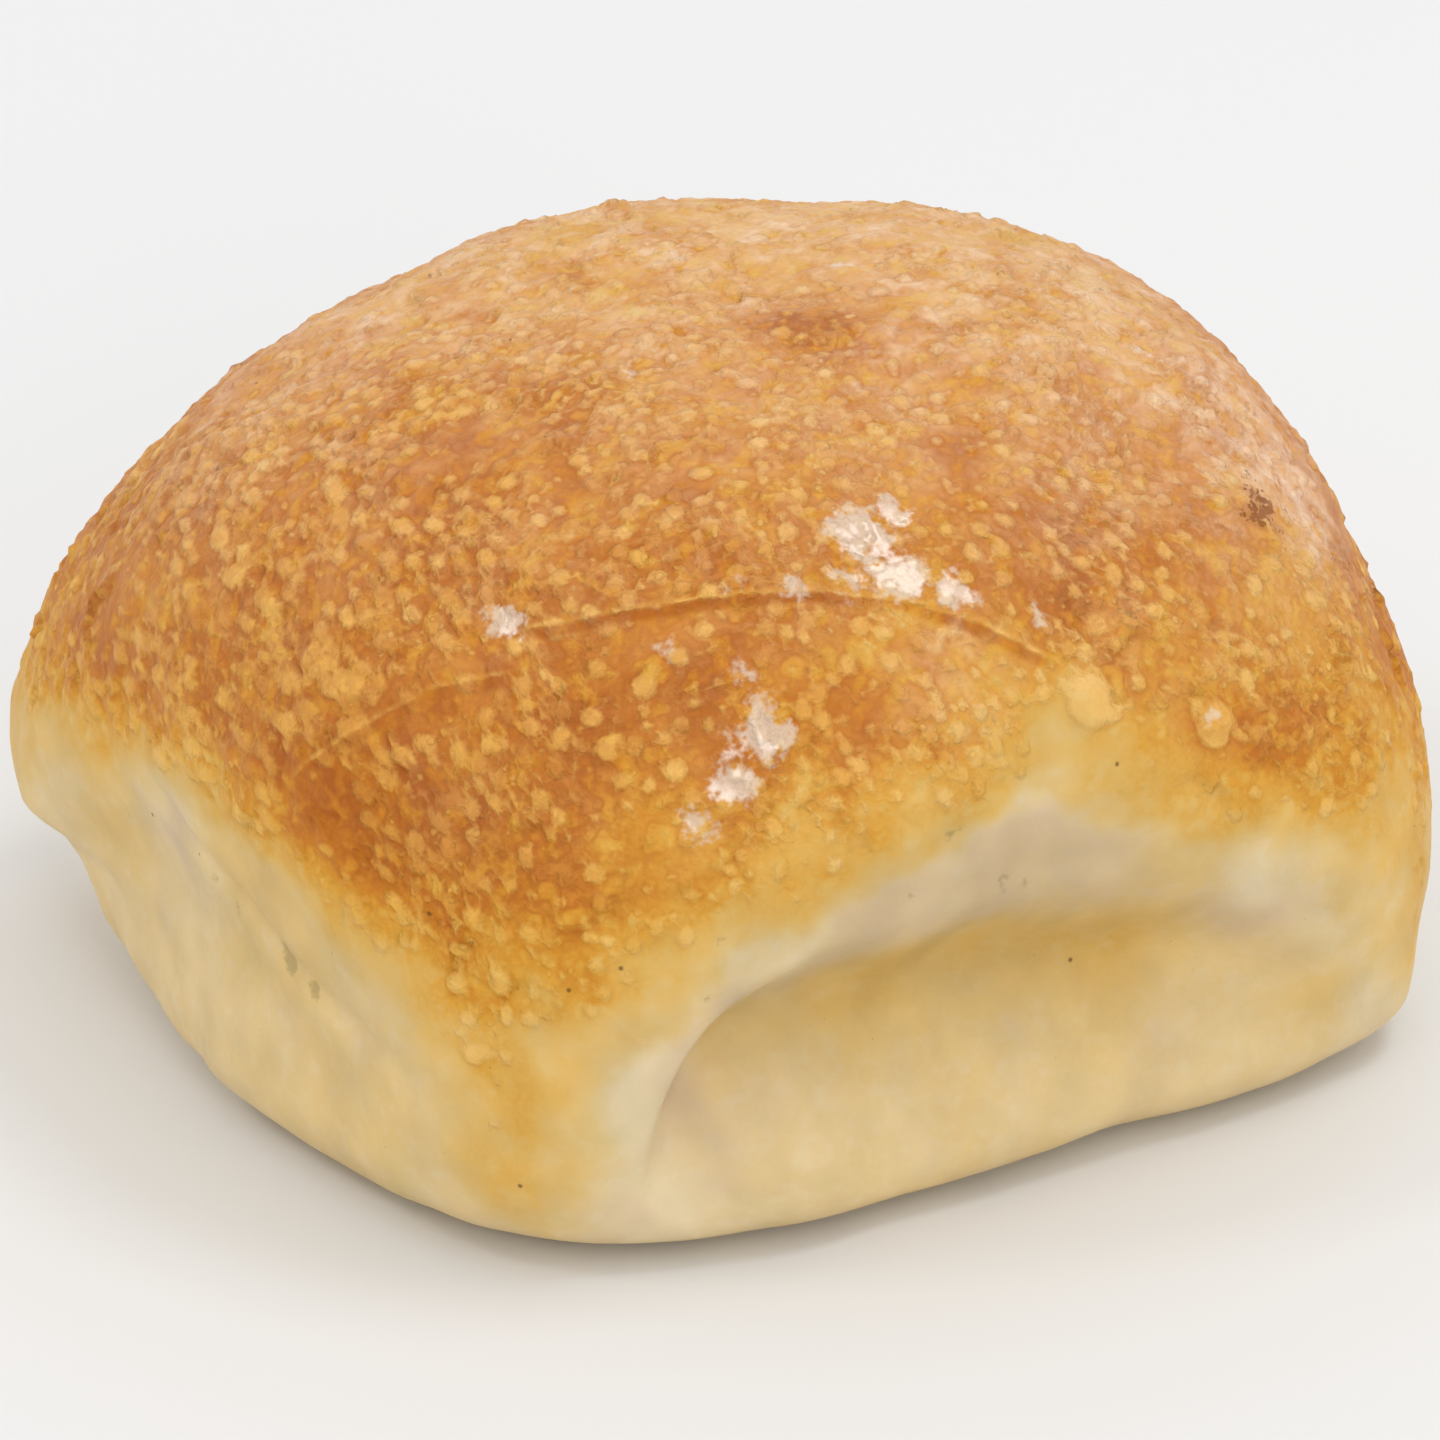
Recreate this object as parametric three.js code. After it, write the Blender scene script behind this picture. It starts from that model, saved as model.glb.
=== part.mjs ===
// A soft bread roll, in millimetres, +Z up, resting on its flat underside.
//
// The roll was proved against its neighbours, so it is a squarish pillow: a domed crust on
// top, and four pale sides where it was pulled from the batch. Each side has an arched crust
// edge, a brow that steps in under it, a hollow and a belly that swells out again. The front
// faces -Y, the right +X, the back +Y and the left -X, and each corner is named by the two
// sides that it joins.
//
// The form is a pillow (a superellipsoid cut flat underneath), then one short function for
// each way that the dough and the crust depart from it.

import * as THREE from "three";

// ---- The pillow ----
const HALF_X = 44.0; // half its width along X
const HALF_Y = 43.0; // half its width along Y
const WAIST_HEIGHT = 17.5; // where it is widest
const DOME_RISE = 34.3; // from the waist up to the crown
const FOOT_DROP = 18.5; // from the waist down, were it not cut flat at the floor
const PLAN_POWER = 2.34; // 2 is an ellipse, and larger is squarer
const DOME_POWER = 2.73;
const FOOT_POWER = 6.4;

// ---- Corners: how far each reaches out of the pillow, at the waist and at the floor ----
const CORNERS = [
  { angle: -135, waist: 1.0, foot: 0.6 }, // front left
  { angle: -45, waist: 4.5, foot: 3.0 }, // front right
  { angle: 135, waist: 7.1, foot: -4.1 }, // back left, a lobe of crust that overhangs
  { angle: 45, waist: 2.0, foot: 0.0 }, // back right
];
const CORNER_SPREAD = 0.37; // radians
const CORNER_WAIST_HEIGHT = 15.9;
const CORNER_WAIST_REACH = 14.0;
const CORNER_FOOT_REACH = 8.0;

// ---- Sides ----
// waist and foot press the whole side in. crust and hollow are arches, whose peak is measured
// from the middle of the side, positive to the right as one faces it, and whose two flanks each
// have a width and a power, larger for a squarer flank. The brow is how far the side steps in
// under the crust's edge, and depth is how much deeper the hollow goes. leftEdge and rightEdge
// are the shares of the arch over which the hollow's two ends round in.
const SIDES = [
  {
    angle: -90, // front
    waist: -1.2,
    foot: -3.3,
    crust: { peak: -3, height: 33.7, left: 31.5, right: 36, leftPower: 2.05, rightPower: 1.6 },
    brow: 2.1,
    hollow: { peak: -6, height: 24.8, left: 22, right: 32, leftPower: 3, rightPower: 2.2 },
    depth: 5.2,
    leftEdge: 0.17,
    rightEdge: 0.26,
  },
  {
    angle: 180, // left
    waist: -1.4,
    foot: -1.0,
    crust: { peak: 4, height: 27.8, left: 36, right: 26, leftPower: 2, rightPower: 2.2 },
    brow: 0.7,
    hollow: { peak: -4, height: 22.5, left: 22, right: 29, leftPower: 2.2, rightPower: 1.8 },
    depth: 1.3,
    leftEdge: 0.3,
    rightEdge: 0.3,
  },
  {
    angle: 90, // back
    waist: -1.1,
    foot: -2.0,
    crust: { peak: 3, height: 31, left: 34, right: 31, leftPower: 1.8, rightPower: 2.1 },
    brow: 1.2,
    hollow: { peak: 4, height: 23.5, left: 30, right: 23, leftPower: 2.1, rightPower: 3 },
    depth: 2.8,
    leftEdge: 0.28,
    rightEdge: 0.16,
  },
  {
    angle: 0, // right
    waist: -1.2,
    foot: -1.2,
    crust: { peak: -2, height: 29, left: 31, right: 34, leftPower: 2.1, rightPower: 1.9 },
    brow: 1.0,
    hollow: { peak: 1, height: 22, left: 24, right: 25, leftPower: 2.4, rightPower: 2.2 },
    depth: 2.1,
    leftEdge: 0.24,
    rightEdge: 0.26,
  },
];
const SIDE_SPREAD = 0.5; // radians
const SIDE_WAIST_HEIGHT = 18.0;
const SIDE_WAIST_REACH = 12.0;
const SIDE_FOOT_REACH = 9.0;
const FACING = [24, 32]; // a side's relief fades in over this distance out from the middle
const EDGE_REACH = 30; // corners and sides pull less on what lies nearer to the axis than this
const BROW_WIDTH = 0.28; // share of the crust's arch over which the brow steps in
const BROW_FLOOR = 9.0; // the brow fades out from here down to the floor
const HOLLOW_EDGE = 0.32; // share of the hollow's arch over which its top rounds in
const HOLLOW_FLOOR = 2.5; // the belly swells from BELLY_TOP down to here
const BELLY_TOP = 15.5;

// ---- Dome: its crown leans, and its shoulders rise unevenly ----
const LEAN_X = -0.13;
const LEAN_Y = -0.28;
const TILT_X = -0.012;
const TILT_Y = -0.072;
const SHOULDERS = [
  { x: 0, y: 26, rise: 2.7, width: 22 },
  { x: -22, y: 22, rise: -1.6, width: 16 },
  { x: 28, y: 0, rise: 2.9, width: 20 },
];

// ---- Swells: where the loaf stands out a little, or dips ----
const SWELLS = [
  { x: 34.2, y: -30.2, z: 7.0, rise: -0.5, width: 3.8 },
  { x: 29.5, y: -32.5, z: 3.0, rise: 0.4, width: 4.0 },
  { x: 9.0, y: -39.5, z: 2.0, rise: -0.8, width: 5.0 },
  { x: -5.0, y: -39.5, z: 2.0, rise: 0.3, width: 4.0 },
  { x: -19.5, y: -36.5, z: 2.0, rise: -0.3, width: 3.5 },
  { x: -37.0, y: -22.0, z: 2.0, rise: -0.3, width: 3.5 },
  { x: -42.7, y: 0.0, z: 3.5, rise: 0.35, width: 2.5 },
  { x: -42.0, y: 10.0, z: 3.5, rise: -0.4, width: 3.5 },
  { x: -40.0, y: 20.5, z: 5.0, rise: 0.4, width: 2.5 },
  { x: -38.5, y: 24.5, z: 8.5, rise: -0.7, width: 2.6 },
  { x: -39.0, y: 24.0, z: 12.5, rise: 0.5, width: 2.4 },
  { x: -34.4, y: 30.0, z: 20.5, rise: -0.4, width: 5.0 },
  { x: -32.5, y: 30.5, z: 30.0, rise: 0.3, width: 4.0 },
  { x: -27.0, y: 29.5, z: 40.0, rise: -0.3, width: 5.0 },
  { x: -20.5, y: 28.0, z: 44.5, rise: -0.3, width: 4.0 },
  { x: 18.0, y: 13.5, z: 50.0, rise: -0.6, width: 4.5 },
  { x: 33.0, y: 0.0, z: 45.0, rise: 0.5, width: 2.6 },
  { x: 36.5, y: -6.5, z: 41.5, rise: 0.35, width: 2.2 },
  { x: 37.3, y: -22.5, z: 33.0, rise: -0.45, width: 5.0 },
  { x: 37.2, y: -26.0, z: 24.5, rise: 0.45, width: 4.5 },
];

// ---- Skin: relief laid along the surface's own normal ----
// A crease runs over the front shoulder, straight and then curling round to the left side.
const CREASE_Y = -37.4; // where it crosses the middle of the roll
const CREASE_SLOPE = -0.45;
const CREASE_CURL_X = -28.0; // it curls to the left of here
const CREASE_CURL = 0.045;
const CREASE_LEDGE = 0.25; // the crust above it stands this proud
const CREASE_LEDGE_REACH = 7.0; // and comes back down over this distance
const CREASE_LIP = 0.2;
const CREASE_CUT = 0.3;
const CREASE_WIDTH = 0.7;
const CREASE_LEFT = -43.0;
const CREASE_LEFT_FADE = 16.0; // length over which its left end fades in
const CREASE_RIGHT = 4.0;
const CREASE_RIGHT_FADE = 7.0;
const CREASE_HEIGHTS = [26, 34]; // it fades in over these heights
// A tear runs down across the left side, under the brow.
const TEAR = {
  side: 180,
  from: -10,
  to: 25,
  fade: 6,
  height: 21.0,
  slope: -0.35,
  depth: 0.5,
  width: 1.3,
};
// Under the overhanging corner the side tucks in.
const TUCK = { angle: 151, spread: 0.3, height: 13.0, drop: 3.0, depth: 1.1 };
// Two large blisters on the front shoulder: place, radius and height.
const LARGE_BLISTERS = [
  { x: 4.1, y: -39.9, z: 35.9, radius: 2.4, rise: 0.55 },
  { x: 13.7, y: -40.2, z: 32.0, radius: 2.2, rise: 0.5 },
];
// Smaller blisters are scattered over the crust.
const BLISTER_COUNT = 90;
const BLISTER_SEED = 41;
const BLISTER_RADIUS = [1.1, 1.8];
const BLISTER_RISE = [0.16, 0.34];
const BLISTER_GAP = 3.2;
const BLISTER_SPREAD = 0.75; // share of its radius at which a blister has sunk to a third
const BLISTER_CRUST = 0.9; // they grow only where there is this much crust
const CRUST_EDGE = [0.97, 1.06]; // levels of a side's arch over which the crust begins
// The dough's own unevenness: waves of a few lengths, in millimetres.
const WAVES = [
  { length: 31, height: 0.30, turn: 0.4 },
  { length: 19, height: 0.22, turn: 1.7 },
  { length: 11, height: 0.12, turn: 2.9 },
];
const WAVE_LEAN = 0.1; // radians that a wave shifts for each millimetre of height
const SKIN_FADE = 4.0; // relief fades out over this height above the floor

// ---- Mesh ----
const TOP_CELLS = 38; // cells along each edge of the square patch on the dome
const SIDE_RINGS = 28; // rings from that patch down to the floor

const CRUST_COLOR = 0xcd8d45;

// ---- Small helpers ----
const radians = THREE.MathUtils.degToRad;

function bell(distance, width) {
  return Math.exp(-((distance / width) ** 2));
}

function ramp(low, high, value) {
  return THREE.MathUtils.smoothstep(value, low, high);
}

function turnFrom(bearing, degrees) {
  const turn = bearing - radians(degrees);
  return Math.atan2(Math.sin(turn), Math.cos(turn));
}

function outward(degrees) {
  return new THREE.Vector3(Math.cos(radians(degrees)), Math.sin(radians(degrees)), 0);
}

function rightward(degrees) {
  return outward(degrees + 90);
}

// ---- The pillow ----
function planReach(x, y) {
  const squareness = Math.abs(x / HALF_X) ** PLAN_POWER + Math.abs(y / HALF_Y) ** PLAN_POWER;
  return squareness ** (1 / PLAN_POWER);
}

function pillowPoint(direction) {
  const above = direction.z > 0;
  const power = above ? DOME_POWER : FOOT_POWER;
  const tall = above ? DOME_RISE : FOOT_DROP;
  const across = planReach(direction.x, direction.y) ** power;
  const upright = Math.abs(direction.z / tall) ** power;
  const point = direction.clone().multiplyScalar((across + upright) ** (-1 / power));
  point.z += WAIST_HEIGHT;
  return point;
}

// Elevation, seen from the waist's centre, at which the pillow meets the floor.
function floorElevation(x, y) {
  const share = (1 - (WAIST_HEIGHT / FOOT_DROP) ** FOOT_POWER) ** (1 / FOOT_POWER);
  const reach = (share * Math.hypot(x, y)) / planReach(x, y);
  return -Math.atan2(WAIST_HEIGHT, reach);
}

// ---- Sculpting: each function moves the point, by where it lay on the pillow ----
function describe(start) {
  return {
    start,
    bearing: Math.atan2(start.y / HALF_Y, start.x / HALF_X),
    reach: Math.hypot(start.x, start.y),
    share: Math.max(start.z / (WAIST_HEIGHT + DOME_RISE), 0) ** 2,
  };
}

function facingShare(start, angle) {
  return ramp(...FACING, start.dot(outward(angle)));
}

function edgeWeight(reach) {
  return Math.min(reach / EDGE_REACH, 1) ** 2;
}

function pullCorners(point, at) {
  for (const corner of CORNERS) {
    const waist = corner.waist * bell(at.start.z - CORNER_WAIST_HEIGHT, CORNER_WAIST_REACH);
    const foot = corner.foot * bell(at.start.z, CORNER_FOOT_REACH);
    const near = bell(turnFrom(at.bearing, corner.angle), CORNER_SPREAD) * edgeWeight(at.reach);
    point.addScaledVector(outward(corner.angle), near * (waist + foot));
  }
}

// 0 in the middle of the arch's foot, 1 on the arch and more outside it.
function archLevel(arch, along, height) {
  const left = along < arch.peak;
  const power = left ? arch.leftPower : arch.rightPower;
  const across = Math.abs(along - arch.peak) / (left ? arch.left : arch.right);
  return (across ** power + (height / arch.height) ** power) ** (1 / power);
}

function browDepth(side, along, height) {
  const inside = 1 - archLevel(side.crust, along, height);
  return side.brow * ramp(0, BROW_WIDTH, inside) * ramp(0, BROW_FLOOR, height);
}

function hollowDepth(side, along, height) {
  const arch = side.hollow;
  const inside = 1 - archLevel(arch, along, height);
  const notLeft = ramp(-arch.left, 0, along - arch.peak);
  const atRight = ramp(0, arch.right, along - arch.peak);
  const ends = side.leftEdge * (1 - notLeft) + side.rightEdge * atRight;
  const edge = ends + HOLLOW_EDGE * notLeft * (1 - atRight);
  return side.depth * ramp(0, edge, inside) * ramp(HOLLOW_FLOOR, BELLY_TOP, height);
}

function pressSides(point, at) {
  for (const side of SIDES) {
    const out = outward(side.angle);
    const along = at.start.dot(rightward(side.angle));
    const waist = side.waist * bell(at.start.z - SIDE_WAIST_HEIGHT, SIDE_WAIST_REACH);
    const foot = side.foot * bell(at.start.z, SIDE_FOOT_REACH);
    const near = bell(turnFrom(at.bearing, side.angle), SIDE_SPREAD) * edgeWeight(at.reach);
    const pressed = browDepth(side, along, at.start.z) + hollowDepth(side, along, at.start.z);
    point.addScaledVector(out, near * (waist + foot) - facingShare(at.start, side.angle) * pressed);
  }
}

function leanDome(point, at) {
  point.x += at.share * LEAN_X;
  point.y += at.share * LEAN_Y;
  point.z += at.share * (TILT_X * at.start.x + TILT_Y * at.start.y);
}

function liftShoulders(point, at) {
  for (const shoulder of SHOULDERS) {
    const away = Math.hypot(at.start.x - shoulder.x, at.start.y - shoulder.y);
    point.z += shoulder.rise * bell(away, shoulder.width) * at.share;
  }
}

function raiseSwells(point, at) {
  const middle = new THREE.Vector3(0, 0, WAIST_HEIGHT);
  const out = at.start.clone().sub(middle);
  out.z = Math.max(out.z, 0);
  out.normalize();
  for (const swell of SWELLS) {
    const away = at.start.distanceTo(swell);
    point.addScaledVector(out, swell.rise * bell(away, swell.width));
  }
}

function sculpted(start) {
  const at = describe(start);
  const point = start.clone();
  pullCorners(point, at);
  pressSides(point, at);
  leanDome(point, at);
  liftShoulders(point, at);
  raiseSwells(point, at);
  return point;
}

// ---- Skin relief: each function gives a height, by where the point lies on the pillow ----
function creaseHeight(start) {
  const curl = CREASE_CURL * Math.max(CREASE_CURL_X - start.x, 0) ** 2;
  const lineY = CREASE_Y + CREASE_SLOPE * start.x + curl;
  const above = (start.y - lineY) / Math.hypot(1, CREASE_SLOPE);
  const proud = ramp(-CREASE_WIDTH, CREASE_WIDTH, above);
  const ledge = CREASE_LEDGE * proud * bell(Math.max(above, 0), CREASE_LEDGE_REACH);
  const lip = CREASE_LIP * bell(above - CREASE_WIDTH, CREASE_WIDTH);
  const cut = CREASE_CUT * bell(above + CREASE_WIDTH, CREASE_WIDTH);
  const left = ramp(CREASE_LEFT, CREASE_LEFT + CREASE_LEFT_FADE, start.x);
  const right = 1 - ramp(CREASE_RIGHT - CREASE_RIGHT_FADE, CREASE_RIGHT, start.x);
  return (ledge + lip - cut) * left * right * ramp(...CREASE_HEIGHTS, start.z);
}

function tearHeight(start) {
  const along = start.dot(rightward(TEAR.side));
  const line = TEAR.height + TEAR.slope * along;
  const begun = ramp(TEAR.from, TEAR.from + TEAR.fade, along);
  const ended = ramp(TEAR.to - TEAR.fade, TEAR.to, along);
  const near = bell(start.z - line, TEAR.width) * facingShare(start, TEAR.side);
  return -TEAR.depth * near * begun * (1 - ended);
}

function tuckHeight(start, bearing) {
  const under = 1 - ramp(TUCK.height - TUCK.drop, TUCK.height, start.z);
  return -TUCK.depth * bell(turnFrom(bearing, TUCK.angle), TUCK.spread) * under;
}

function waveHeight(start) {
  let height = 0;
  for (const wave of WAVES) {
    const pace = (2 * Math.PI) / wave.length;
    const x = start.x * Math.cos(wave.turn) + start.y * Math.sin(wave.turn);
    const y = start.y * Math.cos(wave.turn) - start.x * Math.sin(wave.turn);
    const crossing = Math.sin(pace * y + start.z * WAVE_LEAN);
    height += wave.height * Math.sin(pace * x + wave.turn) * crossing;
  }
  return height;
}

// 0 on the pale sides and 1 on the crust.
function crustShare(start) {
  let share = 1;
  for (const side of SIDES) {
    const level = archLevel(side.crust, start.dot(rightward(side.angle)), start.z);
    share *= 1 - facingShare(start, side.angle) * (1 - ramp(...CRUST_EDGE, level));
  }
  return share;
}

// A repeatable stream of numbers from 0 to 1.
function* randomNumbers(seed) {
  let state = seed;
  while (true) {
    state = (state * 1664525 + 1013904223) % 4294967296;
    yield state / 4294967296;
  }
}

function scatterBlisters() {
  const draw = randomNumbers(BLISTER_SEED);
  const next = () => draw.next().value;
  const blisters = [];
  while (blisters.length < BLISTER_COUNT) {
    const bearing = next() * 2 * Math.PI;
    const lift = next();
    const level = Math.sqrt(1 - lift * lift);
    const direction = new THREE.Vector3(Math.cos(bearing) * level, Math.sin(bearing) * level, lift);
    const spot = pillowPoint(direction);
    const radius = THREE.MathUtils.lerp(...BLISTER_RADIUS, next());
    const rise = THREE.MathUtils.lerp(...BLISTER_RISE, next());
    const clear = blisters.every((other) => other.spot.distanceTo(spot) > BLISTER_GAP);
    if (clear && crustShare(spot) > BLISTER_CRUST) {
      blisters.push({ spot, radius, rise });
    }
  }
  return blisters;
}

function blisterHeight(start, blisters) {
  let height = 0;
  for (const blister of blisters) {
    const away = start.distanceTo(blister.spot) / blister.radius;
    height = Math.max(height, blister.rise * bell(away, BLISTER_SPREAD));
  }
  return height;
}

function skinHeight(start, blisters) {
  const bearing = Math.atan2(start.y / HALF_Y, start.x / HALF_X);
  const marks = creaseHeight(start) + tearHeight(start) + tuckHeight(start, bearing);
  const height = marks + waveHeight(start) + blisterHeight(start, blisters);
  return height * ramp(0, SKIN_FADE, start.z);
}

// ---- Mesh: a square patch over the dome, rings below it, and a flat fan underneath ----
function patchDirection(column, row) {
  const tangent = (step) => Math.tan((step / TOP_CELLS - 0.5) * (Math.PI / 2));
  return new THREE.Vector3(tangent(column), tangent(row), 1).normalize();
}

// The patch's edge, anticlockwise from its front left corner, as columns and rows.
function patchEdge() {
  const edge = [];
  for (let step = 0; step < TOP_CELLS; step += 1) edge.push([step, 0]);
  for (let step = 0; step < TOP_CELLS; step += 1) edge.push([TOP_CELLS, step]);
  for (let step = TOP_CELLS; step > 0; step -= 1) edge.push([step, TOP_CELLS]);
  for (let step = TOP_CELLS; step > 0; step -= 1) edge.push([0, step]);
  return edge;
}

function ringDirection(edgeDirection, ring) {
  const bearing = Math.atan2(edgeDirection.y, edgeDirection.x);
  const floor = floorElevation(edgeDirection.x, edgeDirection.y);
  const elevation = THREE.MathUtils.lerp(Math.asin(edgeDirection.z), floor, ring / SIDE_RINGS);
  const level = Math.cos(elevation);
  return new THREE.Vector3(Math.cos(bearing) * level, Math.sin(bearing) * level, Math.sin(elevation));
}

function meshGrid() {
  const starts = [];
  const triangles = [];
  const quad = (a, b, c, d) => triangles.push(a, b, c, a, c, d);
  const patchIndex = (column, row) => row * (TOP_CELLS + 1) + column;
  for (let row = 0; row <= TOP_CELLS; row += 1) {
    for (let column = 0; column <= TOP_CELLS; column += 1) {
      starts.push(pillowPoint(patchDirection(column, row)));
    }
  }
  for (let row = 0; row < TOP_CELLS; row += 1) {
    for (let column = 0; column < TOP_CELLS; column += 1) {
      const corner = patchIndex(column, row);
      quad(corner, corner + 1, corner + TOP_CELLS + 2, corner + TOP_CELLS + 1);
    }
  }
  const edge = patchEdge();
  let upper = edge.map(([column, row]) => patchIndex(column, row));
  for (let ring = 1; ring <= SIDE_RINGS; ring += 1) {
    const lower = edge.map(([column, row]) => {
      const start = pillowPoint(ringDirection(patchDirection(column, row), ring));
      start.z = ring === SIDE_RINGS ? 0 : start.z;
      return starts.push(start) - 1;
    });
    for (let step = 0; step < edge.length; step += 1) {
      const after = (step + 1) % edge.length;
      quad(upper[step], lower[step], lower[after], upper[after]);
    }
    upper = lower;
  }
  const middle = starts.push(new THREE.Vector3(0, 0, 0)) - 1;
  for (let step = 0; step < edge.length; step += 1) {
    triangles.push(middle, upper[(step + 1) % edge.length], upper[step]);
  }
  return { starts, triangles };
}

function rollGeometry() {
  const { starts, triangles } = meshGrid();
  const geometry = new THREE.BufferGeometry().setFromPoints(starts.map(sculpted));
  geometry.setIndex(triangles);
  geometry.computeVertexNormals();
  const blisters = [...scatterBlisters(), ...LARGE_BLISTERS.map((blister) => ({
    spot: new THREE.Vector3(blister.x, blister.y, blister.z),
    radius: blister.radius,
    rise: blister.rise,
  }))];
  const position = geometry.getAttribute("position");
  const normal = geometry.getAttribute("normal");
  const point = new THREE.Vector3();
  const direction = new THREE.Vector3();
  starts.forEach((start, index) => {
    point.fromBufferAttribute(position, index);
    direction.fromBufferAttribute(normal, index);
    point.addScaledVector(direction, skinHeight(start, blisters));
    position.setXYZ(index, point.x, point.y, point.z);
  });
  geometry.computeBoundingBox();
  const middle = geometry.boundingBox.getCenter(new THREE.Vector3());
  geometry.translate(-middle.x, -middle.y, 0);
  geometry.computeVertexNormals();
  return geometry;
}

const roll = new THREE.Mesh(
  rollGeometry(),
  new THREE.MeshStandardMaterial({ color: CRUST_COLOR, roughness: 0.55, metalness: 0 }),
);
roll.name = "roll";

const breadRoll = new THREE.Group();
breadRoll.add(roll);

export default breadRoll;
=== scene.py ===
"""The looks of a soft bread roll: a blistered golden crust over pale, hollowed sides.

The form is the same as the solid's: a squarish pillow cut flat underneath, with one short
function for each way that the dough and the crust depart from it. It is worked out here on a
much finer grid, with the crust's blisters, flakes, creases and torn marks as real relief, and
with masks that tell the material what each place is like. A place named below is a point of
the plain pillow, before it is sculpted. Lengths are in millimetres until the mesh is made.
"front" faces -Y, "right" +X, "back" +Y and "left" -X.
"""

from math import cos, hypot, pi, radians, sin

import bpy
import numpy as np
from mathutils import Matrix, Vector, kdtree, noise


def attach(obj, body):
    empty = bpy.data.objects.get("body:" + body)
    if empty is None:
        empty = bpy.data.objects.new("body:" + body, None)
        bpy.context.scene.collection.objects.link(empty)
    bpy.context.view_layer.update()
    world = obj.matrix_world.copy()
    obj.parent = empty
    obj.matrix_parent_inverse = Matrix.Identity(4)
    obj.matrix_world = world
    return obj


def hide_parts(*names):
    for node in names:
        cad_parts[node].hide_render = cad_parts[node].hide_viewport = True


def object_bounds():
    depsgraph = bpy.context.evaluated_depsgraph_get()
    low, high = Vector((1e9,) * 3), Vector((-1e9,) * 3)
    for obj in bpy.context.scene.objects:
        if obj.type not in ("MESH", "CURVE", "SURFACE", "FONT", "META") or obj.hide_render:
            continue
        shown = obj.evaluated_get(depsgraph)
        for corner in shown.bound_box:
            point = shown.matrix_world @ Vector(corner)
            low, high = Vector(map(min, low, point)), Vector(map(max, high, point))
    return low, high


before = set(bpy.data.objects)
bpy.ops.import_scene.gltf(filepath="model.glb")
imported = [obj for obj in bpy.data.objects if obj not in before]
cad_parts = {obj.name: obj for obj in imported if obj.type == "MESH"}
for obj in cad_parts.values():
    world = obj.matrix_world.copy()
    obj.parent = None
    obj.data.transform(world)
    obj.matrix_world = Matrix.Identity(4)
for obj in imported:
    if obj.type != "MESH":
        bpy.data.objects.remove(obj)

CAD_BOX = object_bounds()
MM = 0.001


def table(names, *rows):
    """The rows as dictionaries with those names."""
    return [dict(zip(names.split(), row)) for row in rows]


# ---- The pillow ----
HALF_X = 44.0
HALF_Y = 43.0
WAIST_HEIGHT = 17.5
DOME_RISE = 34.3
FOOT_DROP = 18.5
PLAN_POWER = 2.34
DOME_POWER = 2.73
FOOT_POWER = 6.4
# The underside's reach, as a share of the waist's.
FLOOR_SHARE = (1 - (WAIST_HEIGHT / FOOT_DROP) ** FOOT_POWER) ** (1 / FOOT_POWER)

# ---- Corners: how far each reaches out of the pillow, at the waist and at the floor ----
CORNERS = table(
    "angle waist foot",
    (-135, 1, 0.6),
    (-45, 4.5, 3),
    (135, 7.1, -4.1),
    (45, 2, 0),
)
CORNER_SPREAD = 0.37
CORNER_WAIST_HEIGHT = 15.9
CORNER_WAIST_REACH = 14.0
CORNER_FOOT_REACH = 8.0

# ---- Sides: arches of crust, the brow under them, and the hollow above the belly ----
FRONT, LEFT, BACK, RIGHT = -90, 180, 90, 0
SIDES = [
    dict(
        angle=FRONT, waist=-1.2, foot=-3.3, brow=2.1, depth=5.2, left_edge=0.17, right_edge=0.26,
        crust=dict(peak=-3, height=33.7, left=31.5, right=36, left_power=2.05, right_power=1.6),
        hollow=dict(peak=-6, height=24.8, left=22, right=32, left_power=3, right_power=2.2),
    ),
    dict(
        angle=LEFT, waist=-1.4, foot=-1.0, brow=0.7, depth=1.3, left_edge=0.3, right_edge=0.3,
        crust=dict(peak=4, height=27.8, left=36, right=26, left_power=2, right_power=2.2),
        hollow=dict(peak=-4, height=22.5, left=22, right=29, left_power=2.2, right_power=1.8),
    ),
    dict(
        angle=BACK, waist=-1.1, foot=-2.0, brow=1.2, depth=2.8, left_edge=0.28, right_edge=0.16,
        crust=dict(peak=3, height=31, left=34, right=31, left_power=1.8, right_power=2.1),
        hollow=dict(peak=4, height=23.5, left=30, right=23, left_power=2.1, right_power=3),
    ),
    dict(
        angle=RIGHT, waist=-1.2, foot=-1.2, brow=1.0, depth=2.1, left_edge=0.24, right_edge=0.26,
        crust=dict(peak=-2, height=29, left=31, right=34, left_power=2.1, right_power=1.9),
        hollow=dict(peak=1, height=22, left=24, right=25, left_power=2.4, right_power=2.2),
    ),
]
SIDE_SPREAD = 0.5
SIDE_WAIST_HEIGHT = 18.0
SIDE_WAIST_REACH = 12.0
SIDE_FOOT_REACH = 9.0
FACING = (24, 32)
BROW_WIDTH = 0.28
BROW_FLOOR = 9.0
HOLLOW_EDGE = 0.32
DEEPEST_BROW = max(side["brow"] for side in SIDES)
DEEPEST_HOLLOW = max(side["depth"] for side in SIDES)
HOLLOW_FLOOR = 2.5
BELLY_TOP = 15.5

# ---- Dome ----
LEAN_X = -0.13
LEAN_Y = -0.28
TILT_X = -0.012
TILT_Y = -0.072
SHOULDERS = table(
    "x y rise width",
    (0, 26, 2.7, 22),
    (-22, 22, -1.6, 16),
    (28, 0, 2.9, 20),
)

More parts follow.
